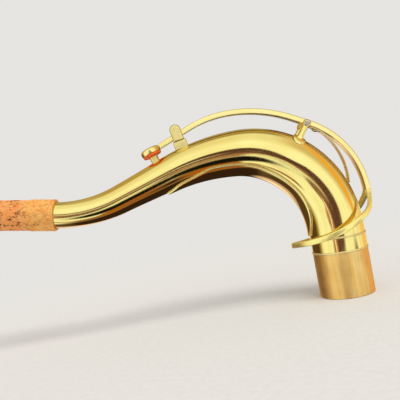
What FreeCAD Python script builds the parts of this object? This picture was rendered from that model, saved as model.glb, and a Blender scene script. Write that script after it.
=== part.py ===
import FreeCAD, Part
import math
import os

import Sketcher
from FreeCAD import Placement, Rotation, Vector

# A tenor saxophone's neck with its octave key.
# Z runs up along the tenon's axis from the centre of its lower end.
# The mouthpiece end points towards -X, and the neck's own plane is XZ.

os.makedirs("parts", exist_ok=True)
doc = FreeCAD.newDocument("TenorNeck")

# Driving sizes, in millimetres and degrees
SIZES = {
    # Tenon and its collar
    "tenon_outer_d": 27.6,
    "tenon_wall": 1.1,
    "tenon_length": 22.3,
    "tenon_spigot_rise": 3.2,
    "tenon_edge_bevel": 0.35,
    "collar_height": 8.3,
    "collar_over_tenon": 0.05,
    "bead_height": 1.0,
    "bead_proud": 0.35,
    # Bent tube
    "tube_wall": 0.65,
    "seat_length": 4.4,
    "shoulder_radius": 46.2,
    "shoulder_turn_deg": 87.4,
    "crown_radius": 102.0,
    "crown_turn_deg": 20.0,
    "slope_length": 28.8,
    "throat_radius": 70.2,
    "throat_turn_deg": 27.2,
    "tube_under_tenon": 0.05,
    "tube_d_shoulder": 27.0,
    "tube_d_top": 22.7,
    "tube_d_crown": 17.9,
    "tube_d_throat": 14.9,
    "tube_d_cork": 13.4,
    "tube_d_tip": 12.9,
    # Cork and the ring at the tip
    "cork_gap": 0.6,
    "cork_length": 48.0,
    "cork_outer_d": 16.5,
    "cork_worn_d": 15.9,
    "cork_worn_length": 35.0,
    "tip_ring_length": 2.4,
    "tip_ring_d": 14.6,
    # Plate brazed under the bend
    "plate_thickness": 1.0,
    "plate_from": 1.5,
    "plate_to": 116.0,
    "plate_half_width": 11.9,
    "plate_tip_half_width": 1.4,
    # Octave pip
    "pip_station": 113.9,
    "pip_outer_d": 4.4,
    "pip_rim_d": 4.9,
    "pip_rim_height": 0.8,
    "pip_bore_d": 1.8,
    "pip_rise": 2.9,
    "pip_depth": 3.0,
    # Pad and its cup
    "pad_seat_gap": 0.1,
    "pad_outer_d": 9.8,
    "pad_proud": 1.4,
    "pad_thickness": 2.9,
    "cup_outer_d": 10.4,
    "cup_wall": 0.5,
    "cup_side": 2.2,
    "cup_dome": 0.8,
    "cup_crown_d": 7.4,
    # Hinge
    "pivot_station": 47.7,
    "pivot_height": 6.9,
    "barrel_d": 3.6,
    "barrel_length": 10.0,
    "rod_d": 2.0,
    "ball_d": 4.5,
    "ball_inset": 1.5,
    "stem_d": 2.9,
    "foot_d": 7.0,
    "foot_thickness": 0.9,
    "screw_head_d": 3.0,
    "screw_head_height": 0.7,
    "slot_width": 0.5,
    "slot_depth": 0.4,
    # Key arm
    "arm_thickness": 2.8,
    "arm_width": 5.8,
    "arm_front_width": 3.5,
    "arm_over_pivot": 3.3,
    "arm_slope_deg": 28.0,
    "arm_crest_run": 7.2,
    "arm_front_deg": 22.0,
    "arm_rear_run": 1.8,
    "arm_rear_radius": 46.0,
    "arm_rear_turn_deg": 61.0,
    "arm_widening_from": 63.0,
    # Ring round the collar
    "strand_thickness": 1.5,
    "strand_join_thickness": 2.7,
    "strand_height": 2.75,
    "ring_half_length": 21.3,
    "ring_half_width": 18.2,
    "ring_tip_reach": 23.2,
    "ring_tip_z": 28.7,
    "ring_rise": 15.4,
    "ring_tilt_deg": 6.0,
    # Guide for the arm
    "guide_station": 99.7,
    "guide_base_length": 6.9,
    "fork_length": 5.6,
    "fork_height": 8.6,
    "fork_floor": 0.6,
    "fork_prong": 1.4,
    "felt_thickness": 0.4,
    "felt_play": 0.25,
    "arm_side_play": 0.4,
    # Flat spring
    "spring_thickness": 0.5,
    "spring_seat_gap": 0.12,
    "spring_width": 4.6,
    "spring_tab": 6.0,
    "spring_tab_from": 3.0,
    "spring_bend_radius": 3.0,
    "spring_set_deg": 14.0,
    "spring_tip_station": 20.5,
    "spring_tip_gap": 0.25,
    "spring_screw_d": 1.6,
    "spring_screw_head_d": 2.8,
    "spring_screw_head_height": 0.8,
    "spring_screw_depth": 1.6,
    # Fits
    "solder_gap": 0.05,
    "running_gap": 0.06,
    "end_play": 0.1,
    "overrun": 2.0,
}

# Places along the sections, as shares of the run that they lie on
SHOULDER_SHARES = (0.125, 0.25, 0.375, 0.5, 0.625, 0.75, 0.875)
CROWN_SHARES = (0.33, 0.67)
THROAT_SHARES = (0.25, 0.5, 0.75)
RING_JOIN_SHARES = (0.2, 0.45, 0.72)
RING_FIRST_DEG = 45.0
RING_LEAVE_SHARE = 0.3
RING_RISE_POWER = 2.3
RING_STEPS = 12
FRONT_RADIUS_SHARE = 0.79
LEAF_STEPS = 20
GUIDE_STEPS = 200
# The plate's half width along it, both as shares of the whole
LEAF_SHARES = [
    (0.0, 0.0),
    (0.04, 0.27),
    (0.12, 0.58),
    (0.26, 0.84),
    (0.45, 0.95),
    (0.65, 1.0),
    (0.75, 0.96),
    (0.86, 0.63),
    (0.94, 0.38),
    (1.0, 0.0),
]
QUARTER = 90.0

sheet = doc.addObject("Spreadsheet::Sheet", "Sizes")
for row, (alias, value) in enumerate(SIZES.items(), 1):
    sheet.set(f"A{row}", alias)
    sheet.set(f"B{row}", str(value))
    sheet.setAlias(f"B{row}", alias)
doc.recompute()


class Size:
    """A length or angle with its value and the expression that gives it."""

    def __init__(self, value, text):
        self.value = value
        self.text = text

    def __float__(self):
        return self.value

    def __add__(self, other):
        return Size(self.value + float(other), f"({self.text} + {text_of(other)})")

    def __sub__(self, other):
        return Size(self.value - float(other), f"({self.text} - {text_of(other)})")

    def __mul__(self, other):
        return Size(self.value * float(other), f"({self.text} * {text_of(other)})")

    def __truediv__(self, other):
        return Size(self.value / float(other), f"({self.text} / {text_of(other)})")

    def __neg__(self):
        return Size(-self.value, f"(-{self.text})")


def text_of(item):
    return item.text if isinstance(item, Size) else repr(float(item))


class Sizes:
    """Each size in the sheet, by its alias."""

    def __getattr__(self, alias):
        return Size(float(sheet.get(alias)), f"Sizes.{alias}")


size = Sizes()
ZERO = Size(0.0, "0")


def bind(item, field, length):
    """Set a property and tie it to the sheet."""
    setattr(item, field, float(length))
    item.setExpression(field, length.text)


# Helpers for bodies and sketches
def origin_plane(body, role):
    for feature in body.Origin.OriginFeatures:
        if feature.Role == role:
            return feature


def new_body(name):
    body = doc.addObject("PartDesign::Body", name)
    body.Label = name
    return body


def new_sketch(body, name, role, offset=None):
    sketch = body.newObject("Sketcher::SketchObject", name)
    sketch.AttachmentSupport = (origin_plane(body, role), "")
    sketch.MapMode = "FlatFace"
    if offset is not None:
        sketch.AttachmentOffset = offset
    return sketch


def fix(sketch, kind, geometry, length, name):
    """Add one driving constraint, tied to the sheet."""
    number = sketch.addConstraint(Sketcher.Constraint(kind, *geometry, float(length)))
    sketch.renameConstraint(number, name)
    sketch.setExpression(f"Constraints.{name}", length.text)


def draw_corners(sketch, corners):
    """Draw a closed outline with straight sides through corners given as sizes."""
    count = len(corners)
    points = [Vector(float(x), float(y), 0) for x, y in corners]
    for number in range(count):
        sketch.addGeometry(Part.LineSegment(points[number], points[(number + 1) % count]))
    for number in range(count):
        sketch.addConstraint(Sketcher.Constraint("Coincident", number, 2, (number + 1) % count, 1))
    for number, (x, y) in enumerate(corners):
        fix(sketch, "DistanceX", (-1, 1, number, 1), x, f"across{number}")
        fix(sketch, "DistanceY", (-1, 1, number, 1), y, f"along{number}")


def turned(name, corners):
    """A body turned about its own Z axis from a closed outline of (radius, height)."""
    body = new_body(name)
    sketch = new_sketch(body, f"{name}_outline", "XZ_Plane")
    draw_corners(sketch, corners)
    revolution = body.newObject("PartDesign::Revolution", f"{name}_turned")
    revolution.Profile = sketch
    revolution.ReferenceAxis = (sketch, ["V_Axis"])
    revolution.Angle = 360.0
    return body


def circle_section(body, name, offset, radius):
    sketch = new_sketch(body, name, "XY_Plane", offset)
    sketch.addGeometry(Part.Circle(Vector(0, 0, 0), Vector(0, 0, 1), float(radius)))
    sketch.addConstraint(Sketcher.Constraint("Coincident", 0, 3, -1, 1))
    fix(sketch, "Radius", (0,), radius, "radius")
    return sketch


def rectangle_section(body, name, offset, width, depth):
    """A rectangle about the sketch's origin, width along its X and depth along its Y."""
    sketch = new_sketch(body, name, "XY_Plane", offset)
    side = width / 2
    end = depth / 2
    draw_corners(sketch, [(-side, -end), (side, -end), (side, end), (-side, end)])
    return sketch


def loft(body, name, sections, kind="PartDesign::AdditiveLoft"):
    feature = body.newObject(kind, name)
    feature.Profile = sections[0]
    feature.Sections = sections[1:]
    feature.Ruled = False
    feature.Closed = False
    return feature


def pipe(body, name, spine, section):
    feature = body.newObject("PartDesign::AdditivePipe", name)
    feature.Profile = section
    feature.Spine = (spine, [f"Edge{n + 1}" for n in range(spine.GeometryCount)])
    feature.Transformation = "Constant"
    feature.Transition = "Transformed"
    return feature


def drill(body, name, placement, radius, length):
    """Cut a round hole along the placement's Z axis."""
    hole = body.newObject("PartDesign::SubtractiveCylinder", name)
    hole.AttachmentSupport = (origin_plane(body, "XY_Plane"), "")
    hole.MapMode = "FlatFace"
    hole.AttachmentOffset = placement
    bind(hole, "Radius", radius)
    bind(hole, "Height", length)
    return hole


def cylinder(name, placement, radius, length):
    item = doc.addObject("Part::Cylinder", name)
    bind(item, "Radius", radius)
    bind(item, "Height", length)
    item.Placement = placement
    return item


def cut(name, base, tool):
    item = doc.addObject("Part::Cut", name)
    item.Base = base
    item.Tool = tool
    item.Label = name
    return item


def common(name, pieces):
    item = doc.addObject("Part::MultiCommon", name)
    item.Shapes = pieces
    return item


def fuse(name, pieces):
    item = doc.addObject("Part::MultiFuse", name)
    item.Shapes = pieces
    return item


# Planar routes of straight and curved runs in the XZ plane
class Route:
    """A route whose heading is measured from +Z towards -X, in degrees."""

    def __init__(self, x, z, heading):
        self.x = x
        self.z = z
        self.heading = heading
        self.runs = []
        self.length = 0.0

    def straight(self, length):
        self.runs.append((self.length, self.x, self.z, self.heading, length, 0.0))
        self.x, self.z, self.heading = self.at(self.length + length)
        self.length += length
        return self

    def bend(self, radius, turn):
        length = radius * math.radians(abs(turn))
        curve = math.copysign(1 / radius, turn)
        self.runs.append((self.length, self.x, self.z, self.heading, length, curve))
        self.x, self.z, self.heading = self.at(self.length + length)
        self.length += length
        return self

    def at(self, distance):
        """X, Z and heading at a distance along the route."""
        start, x, z, heading, _, curve = [r for r in self.runs if r[0] <= distance or r[0] == 0][-1]
        along = distance - start
        facing = math.radians(heading)
        if curve == 0:
            return x - math.sin(facing) * along, z + math.cos(facing) * along, heading
        turned_to = facing + along * curve
        x += (math.cos(turned_to) - math.cos(facing)) / curve
        z += (math.sin(turned_to) - math.sin(facing)) / curve
        return x, z, math.degrees(turned_to)

    def across(self, distance, offset=0.0):
        """Frame with Z along the route and X out to its right, moved out by offset."""
        x, z, heading = self.at(distance)
        facing = math.radians(heading)
        point = Vector(x + offset * math.cos(facing), 0, z + offset * math.sin(facing))
        return Placement(point, Rotation(Vector(0, 1, 0), -heading))

    def upright(self, distance, height=0.0):
        """Frame that stands on the route, with Z out to its right and X back along it."""
        frame = self.across(distance, height)
        return Placement(frame.Base, frame.Rotation.multiply(Rotation(Vector(0, 1, 0), QUARTER)))

    def draw(self, sketch):
        """Draw the route in a sketch on the XZ plane."""
        for _, x, z, heading, length, curve in self.runs:
            first = Vector(x, z, 0)
            run = Route(x, z, heading)
            run.runs.append((0.0, x, z, heading, length, curve))
            middle_x, middle_z, _ = run.at(length / 2)
            last_x, last_z, _ = run.at(length)
            last = Vector(last_x, last_z, 0)
            if curve == 0:
                sketch.addGeometry(Part.LineSegment(first, last))
            else:
                sketch.addGeometry(Part.Arc(first, Vector(middle_x, middle_z, 0), last))
        for number in range(len(self.runs)):
            sketch.addConstraint(Sketcher.Constraint("Block", number))


def value(alias):
    return float(getattr(size, alias))


# Centreline of the bent tube, from the collar to the tip
collar_top = size.tenon_length + size.collar_height
tube = Route(0.0, float(collar_top), 0.0)
tube.straight(value("seat_length"))
shoulder_from = tube.length
tube.bend(value("shoulder_radius"), value("shoulder_turn_deg"))
crown_from = tube.length
tube.bend(value("crown_radius"), value("crown_turn_deg"))
slope_from = tube.length
tube.straight(value("slope_length"))
throat_from = tube.length
tube.bend(value("throat_radius"), -value("throat_turn_deg"))
cork_run_from = tube.length
cork_from = cork_run_from + value("cork_gap")
cork_to = cork_from + value("cork_length")
tube.straight(cork_to + value("tip_ring_length") - cork_run_from)

# Tube diameters, each at its place along the centreline
tube_d_collar = size.tenon_outer_d - size.tube_under_tenon * 2
TAPER = [
    (0.0, tube_d_collar),
    (shoulder_from, tube_d_collar),
    ((shoulder_from + crown_from) / 2, size.tube_d_shoulder),
    (crown_from, size.tube_d_top),
    (slope_from, size.tube_d_crown),
    (throat_from, size.tube_d_throat),
    (cork_run_from, size.tube_d_cork),
    (tube.length, size.tube_d_tip),
]


def table_slopes(table):
    """Slope at each of a table's places, so that the curve between them never swings back."""
    steps = []
    for (start, first), (end, last) in zip(table, table[1:]):
        steps.append((float(last) - float(first)) / (end - start))
    slopes = [steps[0]]
    for before, after in zip(steps, steps[1:]):
        slopes.append(0.0 if before * after <= 0 else 2 * before * after / (before + after))
    return slopes + [steps[-1]]


def table_value(table, slopes, place):
    """Value of a table at a place, on a smooth curve through its values."""
    n = max(k for k in range(len(table) - 1) if table[k][0] <= place or k == 0)
    start, first = table[n]
    end, last = table[n + 1]
    run = end - start
    share = (place - start) / run
    rise = share * share * (3 - 2 * share)
    swing = share * (1 - share) * (1 - share) * run * slopes[n]
    swing += share * share * (share - 1) * run * slopes[n + 1]
    return first * (1 - rise) + last * rise + swing


TAPER_SLOPES = table_slopes(TAPER)
LEAF_SLOPES = table_slopes(LEAF_SHARES)


def tube_radius(distance):
    """Outer radius of the tube at a distance along its centreline."""
    return table_value(TAPER, TAPER_SLOPES, distance) / 2


def between(start, end, shares):
    return [start + (end - start) * share for share in shares]


STATIONS = (
    [0.0, shoulder_from]
    + between(shoulder_from, crown_from, SHOULDER_SHARES)
    + [crown_from]
    + between(crown_from, slope_from, CROWN_SHARES)
    + [slope_from, throat_from]
    + between(throat_from, cork_run_from, THROAT_SHARES)
    + [cork_run_from, cork_to, tube.length]
)


def tube_loft(body, name, stations, extra, kind="PartDesign::AdditiveLoft"):
    """Loft along the tube, with extra added to its outer radius."""
    sections = []
    for number, place in enumerate(stations):
        inside = min(max(place, 0.0), tube.length)
        radius = tube_radius(inside) + extra
        sections.append(circle_section(body, f"{name}_section{number}", tube.across(place), radius))
    return loft(body, name, sections, kind)


def tube_solid(name, extra, stations=None):
    """The tube's outer form as a solid, grown by extra, for cutting seats."""
    body = new_body(name)
    tube_loft(body, f"{name}_loft", stations or STATIONS, extra)
    return body


overrun = size.overrun
tube_core = tube_solid("tube_core", size.solder_gap)


# Neck tube, with the hole for the pip
def make_neck_tube():
    body = new_body("neck_tube")
    tube_loft(body, "tube_outside", STATIONS, ZERO)
    through = [-value("overrun")] + STATIONS[1:-1] + [tube.length + value("overrun")]
    tube_loft(body, "tube_bore", through, -size.tube_wall, "PartDesign::SubtractiveLoft")
    middle = tube.upright(value("pip_station"))
    drill(body, "pip_hole", middle, size.pip_outer_d / 2 + size.solder_gap, size.tube_d_top)
    return body


neck_tube = make_neck_tube()

# Tenon: a sleeve whose thinner spigot stands up inside the collar and the tube
tenon_r = size.tenon_outer_d / 2
tenon_inner_r = tenon_r - size.tenon_wall
bore_at_seat = tube_d_collar / 2 - size.tube_wall
spigot_r = bore_at_seat - size.solder_gap
spigot_inner_r = spigot_r - size.tube_wall
tenon = turned(
    "tenon",
    [
        (tenon_inner_r, ZERO),
        (tenon_r - size.tenon_edge_bevel, ZERO),
        (tenon_r, size.tenon_edge_bevel),
        (tenon_r, size.tenon_length),
        (spigot_r, size.tenon_length),
        (spigot_r, collar_top + size.tenon_spigot_rise),
        (spigot_inner_r, collar_top + size.tenon_spigot_rise),
        (spigot_inner_r, size.tenon_length - size.tenon_wall),
        (tenon_inner_r, size.tenon_length - size.tenon_wall * 2),
    ],
)

# Collar with a bead at each end
collar_r = tenon_r + size.collar_over_tenon
bead_r = collar_r + size.bead_proud
collar_inner_r = spigot_r + size.solder_gap
bead_slope = size.bead_height / 4
tenon_collar = turned(
    "tenon_collar",
    [
        (collar_inner_r, size.tenon_length),
        (collar_r, size.tenon_length),
        (bead_r, size.tenon_length + bead_slope),
        (bead_r, size.tenon_length + size.bead_height - bead_slope),
        (collar_r, size.tenon_length + size.bead_height),
        (collar_r, collar_top - size.bead_height),
        (bead_r, collar_top - size.bead_height + bead_slope),
        (bead_r, collar_top - bead_slope),
        (collar_r, collar_top),
        (collar_inner_r, collar_top),
    ],
)


# Cork sleeve and the ring at the tip, each bored to the tube's own taper
def sleeve(name, start, corners):
    blank = turned(f"{name}_blank", corners)
    blank.Placement = tube.across(start)
    return cut(name, blank, tube_core)


cork_r = size.cork_outer_d / 2
worn_r = size.cork_worn_d / 2
cork_step = size.cork_length - size.cork_worn_length
neck_cork = sleeve(
    "neck_cork",
    cork_from,
    [
        (ZERO, ZERO),
        (cork_r, ZERO),
        (cork_r, cork_step),
        (worn_r, cork_step + (cork_r - worn_r)),
        (worn_r, size.cork_length),
        (ZERO, size.cork_length),
    ],
)
ring_r = size.tip_ring_d / 2
tip_bevel = size.tip_ring_length / 4
tip_ring = sleeve(
    "tip_ring",
    cork_to,
    [
        (ZERO, ZERO),
        (ring_r, ZERO),
        (ring_r, size.tip_ring_length - tip_bevel),
        (ring_r - tip_bevel, size.tip_ring_length),
        (ZERO, size.tip_ring_length),
    ],
)


# Brace plate: a leaf that wraps the underside of the bend
def leaf_edge(share):
    """Point of the plate's edge, seen from the side, at a share of the way round its arc."""
    along = (1 - math.cos(math.pi * share)) / 2
    place = value("plate_from") + (value("plate_to") - value("plate_from")) * along
    swell = table_value(LEAF_SHARES, LEAF_SLOPES, along)
    half_width = value("plate_tip_half_width")
    half_width += (value("plate_half_width") - half_width) * swell
    reach = float(tube_radius(place) + size.plate_thickness)
    return tube.across(place, -reach * math.cos(half_width / reach)).Base


def make_brace_plate():
    """The plate's shell, cut down to the leaf by a pocket from the side."""
    first = value("plate_from")
    last = value("plate_to")
    middle = [s for s in STATIONS if first < s < last]
    stations = [0.0] + middle + [last + value("overrun")]
    body = new_body("brace_plate")
    tube_loft(body, "plate_outside", stations, size.plate_thickness)
    tube_loft(body, "plate_inside", STATIONS, size.solder_gap, "PartDesign::SubtractiveLoft")
    edge = [leaf_edge(n / LEAF_STEPS) for n in range(LEAF_STEPS + 1)]
    points = [Vector(p.x, p.z, 0) for p in edge]
    curve = Part.BSplineCurve()
    curve.interpolate(points)
    below_start = tube.across(first, -value("shoulder_radius") / 2).Base
    below_end = tube.across(last, -value("shoulder_radius") / 2).Base
    low_start = Vector(below_start.x, below_start.z, 0)
    low_end = Vector(below_end.x, below_end.z, 0)
    far = 2 * (value("shoulder_radius") + value("crown_radius"))
    corners = [Vector(-far, -far, 0), Vector(far, -far, 0), Vector(far, far, 0), Vector(-far, far, 0)]
    sketch = new_sketch(body, "plate_leaf", "XZ_Plane")
    sketch.addGeometry(curve)
    sketch.addGeometry(Part.LineSegment(points[-1], low_end))
    sketch.addGeometry(Part.LineSegment(low_end, low_start))
    sketch.addGeometry(Part.LineSegment(low_start, points[0]))
    for number in range(len(corners)):
        sketch.addGeometry(Part.LineSegment(corners[number - 1], corners[number]))
    for number in range(sketch.GeometryCount):
        sketch.addConstraint(Sketcher.Constraint("Block", number))
    pocket = body.newObject("PartDesign::Pocket", "plate_trim")
    pocket.Profile = sketch
    pocket.Type = "ThroughAll"
    pocket.Midplane = True
    return body


brace_plate = make_brace_plate()

# Octave pip: a small tube through the neck's wall, with a rim for the pad
pip_top = tube_radius(value("pip_station")) + size.pip_rise
pip_r = size.pip_outer_d / 2
pip_rim_r = size.pip_rim_d / 2
pip_bore_r = size.pip_bore_d / 2
pip_bottom = tube_radius(value("pip_station")) - size.tube_wall - size.pip_depth
octave_pip = turned(
    "octave_pip",
    [
        (pip_bore_r, pip_bottom),
        (pip_r, pip_bottom),
        (pip_r, pip_top - size.pip_rim_height),
        (pip_rim_r, pip_top - size.pip_rim_height),
        (pip_rim_r, pip_top),
        (pip_bore_r, pip_top),
    ],
)
octave_pip.Placement = tube.upright(value("pip_station"))

# Pad and cup, closed on the pip
pad_frame = tube.upright(value("pip_station"), float(pip_top + size.pad_seat_gap))
cup_r = size.cup_outer_d / 2
cavity_r = cup_r - size.cup_wall
pad_r = size.pad_outer_d / 2
pad_fit_r = cavity_r - size.solder_gap
pad_edge = size.pad_proud / 4
octave_pad = turned(
    "octave_pad",
    [
        (ZERO, ZERO),
        (pad_r - pad_edge, ZERO),
        (pad_r, pad_edge),
        (pad_r, size.pad_proud - size.solder_gap),
        (pad_fit_r, size.pad_proud - size.solder_gap),
        (pad_fit_r, size.pad_thickness),
        (ZERO, size.pad_thickness),
    ],
)
octave_pad.Placement = pad_frame
cavity_top = size.pad_thickness + size.solder_gap
cup_shoulder = size.pad_proud + size.cup_side
cup_top = cup_shoulder + size.cup_dome
cup_crown_r = size.cup_crown_d / 2
pad_cup = turned(
    "pad_cup",
    [
        (ZERO, cavity_top),
        (cavity_r, cavity_top),
        (cavity_r, size.pad_proud),
        (cup_r, size.pad_proud),
        (cup_r, cup_shoulder),
        (cup_crown_r, cup_top),
        (ZERO, cup_top),
    ],
)
pad_cup.Placement = pad_frame

# Hinge axis and the barrel on it
pivot_place = value("pivot_station")
pivot = tube.upright(pivot_place, float(tube_radius(pivot_place)) + value("pivot_height"))
axis_y = Rotation(Vector(1, 0, 0), -QUARTER)


def along_hinge(y):
    """Frame on the hinge axis at a place across the neck, with Z along +Y."""
    return Placement(pivot.multVec(Vector(0, y, 0)), pivot.Rotation.multiply(axis_y))


barrel_half = size.barrel_length / 2
rod_r = size.rod_d / 2
barrel_r = size.barrel_d / 2
hinge_tube = turned(
    "hinge_tube",
    [
        (rod_r + size.running_gap, -barrel_half),
        (barrel_r, -barrel_half),
        (barrel_r, barrel_half),
        (rod_r + size.running_gap, barrel_half),
    ],
)
hinge_tube.Placement = along_hinge(0.0)

# Posts: a ball with a flat to each side, a stem, and a round foot brazed to the tube
ball_r = size.ball_d / 2
ball_y = barrel_half + size.end_play + size.ball_inset
ball_flat = size.ball_inset
foot_solid = tube_solid("foot_solid", size.solder_gap + size.foot_thickness)
foot_core = tube_solid("foot_core", size.solder_gap * 2 + size.foot_thickness)
stem_length = tube_radius(pivot_place) + size.pivot_height


def make_post(name, side):
    """One post and its foot; side is -1 nearest the viewer and 1 on the far side."""
    centre = pivot.multVec(Vector(0, side * float(ball_y), 0))
    ball = doc.addObject("Part::Sphere", f"{name}_ball")
    bind(ball, "Radius", ball_r)
    ball.Placement = Placement(centre, pivot.Rotation)
    slab = doc.addObject("Part::Box", f"{name}_slab")
    for field in ("Length", "Height"):
        bind(slab, field, size.ball_d * 2)
    bind(slab, "Width", ball_flat * 2)
    corner = Vector(-float(size.ball_d), -float(ball_flat), -float(size.ball_d))
    slab.Placement = Placement(centre + pivot.Rotation.multVec(corner), pivot.Rotation)
    flat_ball = common(f"{name}_flat_ball", [ball, slab])
    down = pivot.Rotation.multVec(Vector(0, 0, -float(stem_length)))
    stem = cylinder(f"{name}_stem", Placement(centre + down, pivot.Rotation), size.stem_d / 2, stem_length)
    blank = fuse(f"{name}_blank", [flat_ball, stem])
    seated = cut(f"{name}_seated", blank, foot_core)
    hole = cylinder(
        f"{name}_hole",
        along_hinge(side * float(ball_y) - float(size.ball_d)),
        rod_r + size.running_gap,
        size.ball_d * 2,
    )
    post = cut(name, seated, hole)
    disc = cylinder(f"{name}_disc", Placement(centre + down, pivot.Rotation), size.foot_d / 2, stem_length)
    foot_blank = common(f"{name}_foot_blank", [disc, foot_solid])
    foot = cut(f"{name}_foot", foot_blank, tube_core)
    return post, foot


near_post, near_foot = make_post("near_post", -1)
far_post, far_foot = make_post("far_post", 1)

# Hinge screw: a rod with a slotted head on the near post
head_y = ball_y + ball_flat
rod_end = ball_y + ball_flat
screw_head_r = size.screw_head_d / 2
hinge_screw = turned(
    "hinge_screw",
    [
        (ZERO, -head_y - size.screw_head_height),
        (screw_head_r - size.slot_depth, -head_y - size.screw_head_height),
        (screw_head_r, -head_y - size.screw_head_height + size.slot_depth),
        (screw_head_r, -head_y - size.solder_gap),
        (rod_r, -head_y - size.solder_gap),
        (rod_r, rod_end),
        (ZERO, rod_end),
    ],
)


def cut_slot(body, name, level, head_d):
    """Pocket a screwdriver slot across a head, from a level down by twice the slot's depth."""
    floor = Placement(Vector(0, 0, float(level)), Rotation())
    sketch = new_sketch(body, f"{name}_outline", "XY_Plane", floor)
    half = size.slot_width / 2
    draw_corners(sketch, [(-head_d, -half), (head_d, -half), (head_d, half), (-head_d, half)])
    slot = body.newObject("PartDesign::Pocket", name)
    slot.Profile = sketch
    bind(slot, "Length", size.slot_depth * 2)
    slot.Reversed = False
    return slot


cut_slot(hinge_screw, "hinge_slot", -head_y - size.screw_head_height + size.slot_depth, size.screw_head_d)
hinge_screw.Placement = along_hinge(0.0)

# Key arm: the route of its outer face, forward to the cup and back to the ring
arm_reach = value("arm_over_pivot")
lean = 180.0 - QUARTER - value("arm_slope_deg")
pivot_point = pivot.Base
out_x = math.cos(math.radians(lean))
out_z = math.sin(math.radians(lean))
arm_top = Vector(pivot_point.x + arm_reach * out_x, 0, pivot_point.z + arm_reach * out_z)
half_arm = value("arm_thickness") / 2
middle_top = Vector(arm_top.x - half_arm * out_x, 0, arm_top.z - half_arm * out_z)


def make_front_route():
    """From over the pivot forward: a crest, a tighter bend, and straight down to the cup's middle."""
    route = Route(middle_top.x, middle_top.z, lean)
    route.straight(value("arm_crest_run"))
    cup_middle = pad_frame.multVec(Vector(0, 0, (value("pad_proud") + float(cup_shoulder)) / 2))
    # The bends' radii share one scale, and it and the last run follow from where the cup is
    turn = math.radians(value("arm_front_deg"))
    level = math.radians(QUARTER - lean)
    unit_x = math.sin(level) + FRONT_RADIUS_SHARE * math.sin(turn)
    unit_z = 1 - math.cos(level) - FRONT_RADIUS_SHARE * (1 - math.cos(turn))
    ahead = route.x - cup_middle.x
    above = route.z - cup_middle.z
    crest_radius = (ahead * math.sin(turn) - above * math.cos(turn)) / (
        unit_x * math.sin(turn) + unit_z * math.cos(turn)
    )
    last_run = (ahead * unit_z + above * unit_x) / (unit_x * math.sin(turn) + unit_z * math.cos(turn))
    route.bend(crest_radius, QUARTER - lean)
    route.bend(crest_radius * FRONT_RADIUS_SHARE, value("arm_front_deg"))
    route.straight(last_run)
    return route


def reversed_route(route):
    """The same route walked from its other end."""
    back = Route(route.x, route.z, route.heading + 180.0)
    for _, _, _, _, length, curve in reversed(route.runs):
        if curve == 0:
            back.straight(length)
        else:
            back.bend(1 / abs(curve), -math.degrees(length * curve))
    return back


front_route = make_front_route()
arm = reversed_route(front_route)
pivot_along_arm = arm.length
arm.straight(value("arm_rear_run"))
arm.bend(value("arm_rear_radius") - half_arm, -value("arm_rear_turn_deg"))


# The front of the arm narrows towards the cup, seen from above
wide_x = front_route.x + value("arm_widening_from")
narrow_x = front_route.x - value("overrun")


def make_key_arm():
    body = new_body("key_arm_bar")
    spine = new_sketch(body, "arm_spine", "XZ_Plane")
    arm.draw(spine)
    section = rectangle_section(body, "arm_section", arm.across(0.0), size.arm_thickness, size.arm_width)
    pipe(body, "arm_bar", spine, section)
    sketch = new_sketch(body, "arm_narrowing", "XY_Plane")
    half = value("arm_width") / 2
    narrow = value("arm_front_width") / 2
    count = 0
    for side in (-1, 1):
        corners = [
            Vector(wide_x, side * half, 0),
            Vector(narrow_x, side * narrow, 0),
            Vector(narrow_x, side * (half + value("overrun")), 0),
            Vector(wide_x, side * (half + value("overrun")), 0),
        ]
        for number in range(len(corners)):
            sketch.addGeometry(Part.LineSegment(corners[number - 1], corners[number]))
            sketch.addConstraint(Sketcher.Constraint("Block", count))
            count += 1
    pocket = body.newObject("PartDesign::Pocket", "arm_taper")
    pocket.Profile = sketch
    pocket.Type = "ThroughAll"
    pocket.Midplane = True
    return body


arm_bar = make_key_arm()
barrel_groove = cylinder(
    "barrel_groove",
    along_hinge(-float(size.arm_width)),
    barrel_r + size.solder_gap,
    size.arm_width * 2,
)

# Spring screw, driven into the arm's inner face through the spring's flat end
screw_place = pivot_along_arm + value("spring_tab_from") + value("spring_tab") / 2
screw_frame = arm.upright(screw_place, half_arm)
screw_r = size.spring_screw_d / 2
screw_head_from = size.spring_seat_gap + size.spring_thickness + size.solder_gap
screw_head_to = screw_head_from + size.spring_screw_head_height
spring_head_r = size.spring_screw_head_d / 2
spring_screw = turned(
    "spring_screw",
    [
        (ZERO, -size.spring_screw_depth),
        (screw_r, -size.spring_screw_depth),
        (screw_r, screw_head_from),
        (spring_head_r, screw_head_from),
        (spring_head_r, screw_head_to),
        (ZERO, screw_head_to),
    ],
)
cut_slot(spring_screw, "spring_slot", screw_head_to + size.slot_depth, size.spring_screw_head_d)
spring_screw.Placement = screw_frame
pit_depth = size.spring_screw_depth + size.solder_gap
screw_pit = cylinder(
    "screw_pit",
    screw_frame.multiply(Placement(Vector(0, 0, -float(pit_depth)), Rotation())),
    screw_r + size.solder_gap,
    pit_depth * 2,
)
cup_clear = cylinder(
    "cup_clear",
    pad_frame.multiply(Placement(Vector(0, 0, -float(size.arm_width)), Rotation())),
    cup_r + size.solder_gap,
    size.arm_width * 3,
)
key_arm = cut("key_arm", arm_bar, fuse("arm_cuts", [barrel_groove, screw_pit, cup_clear]))


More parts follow.
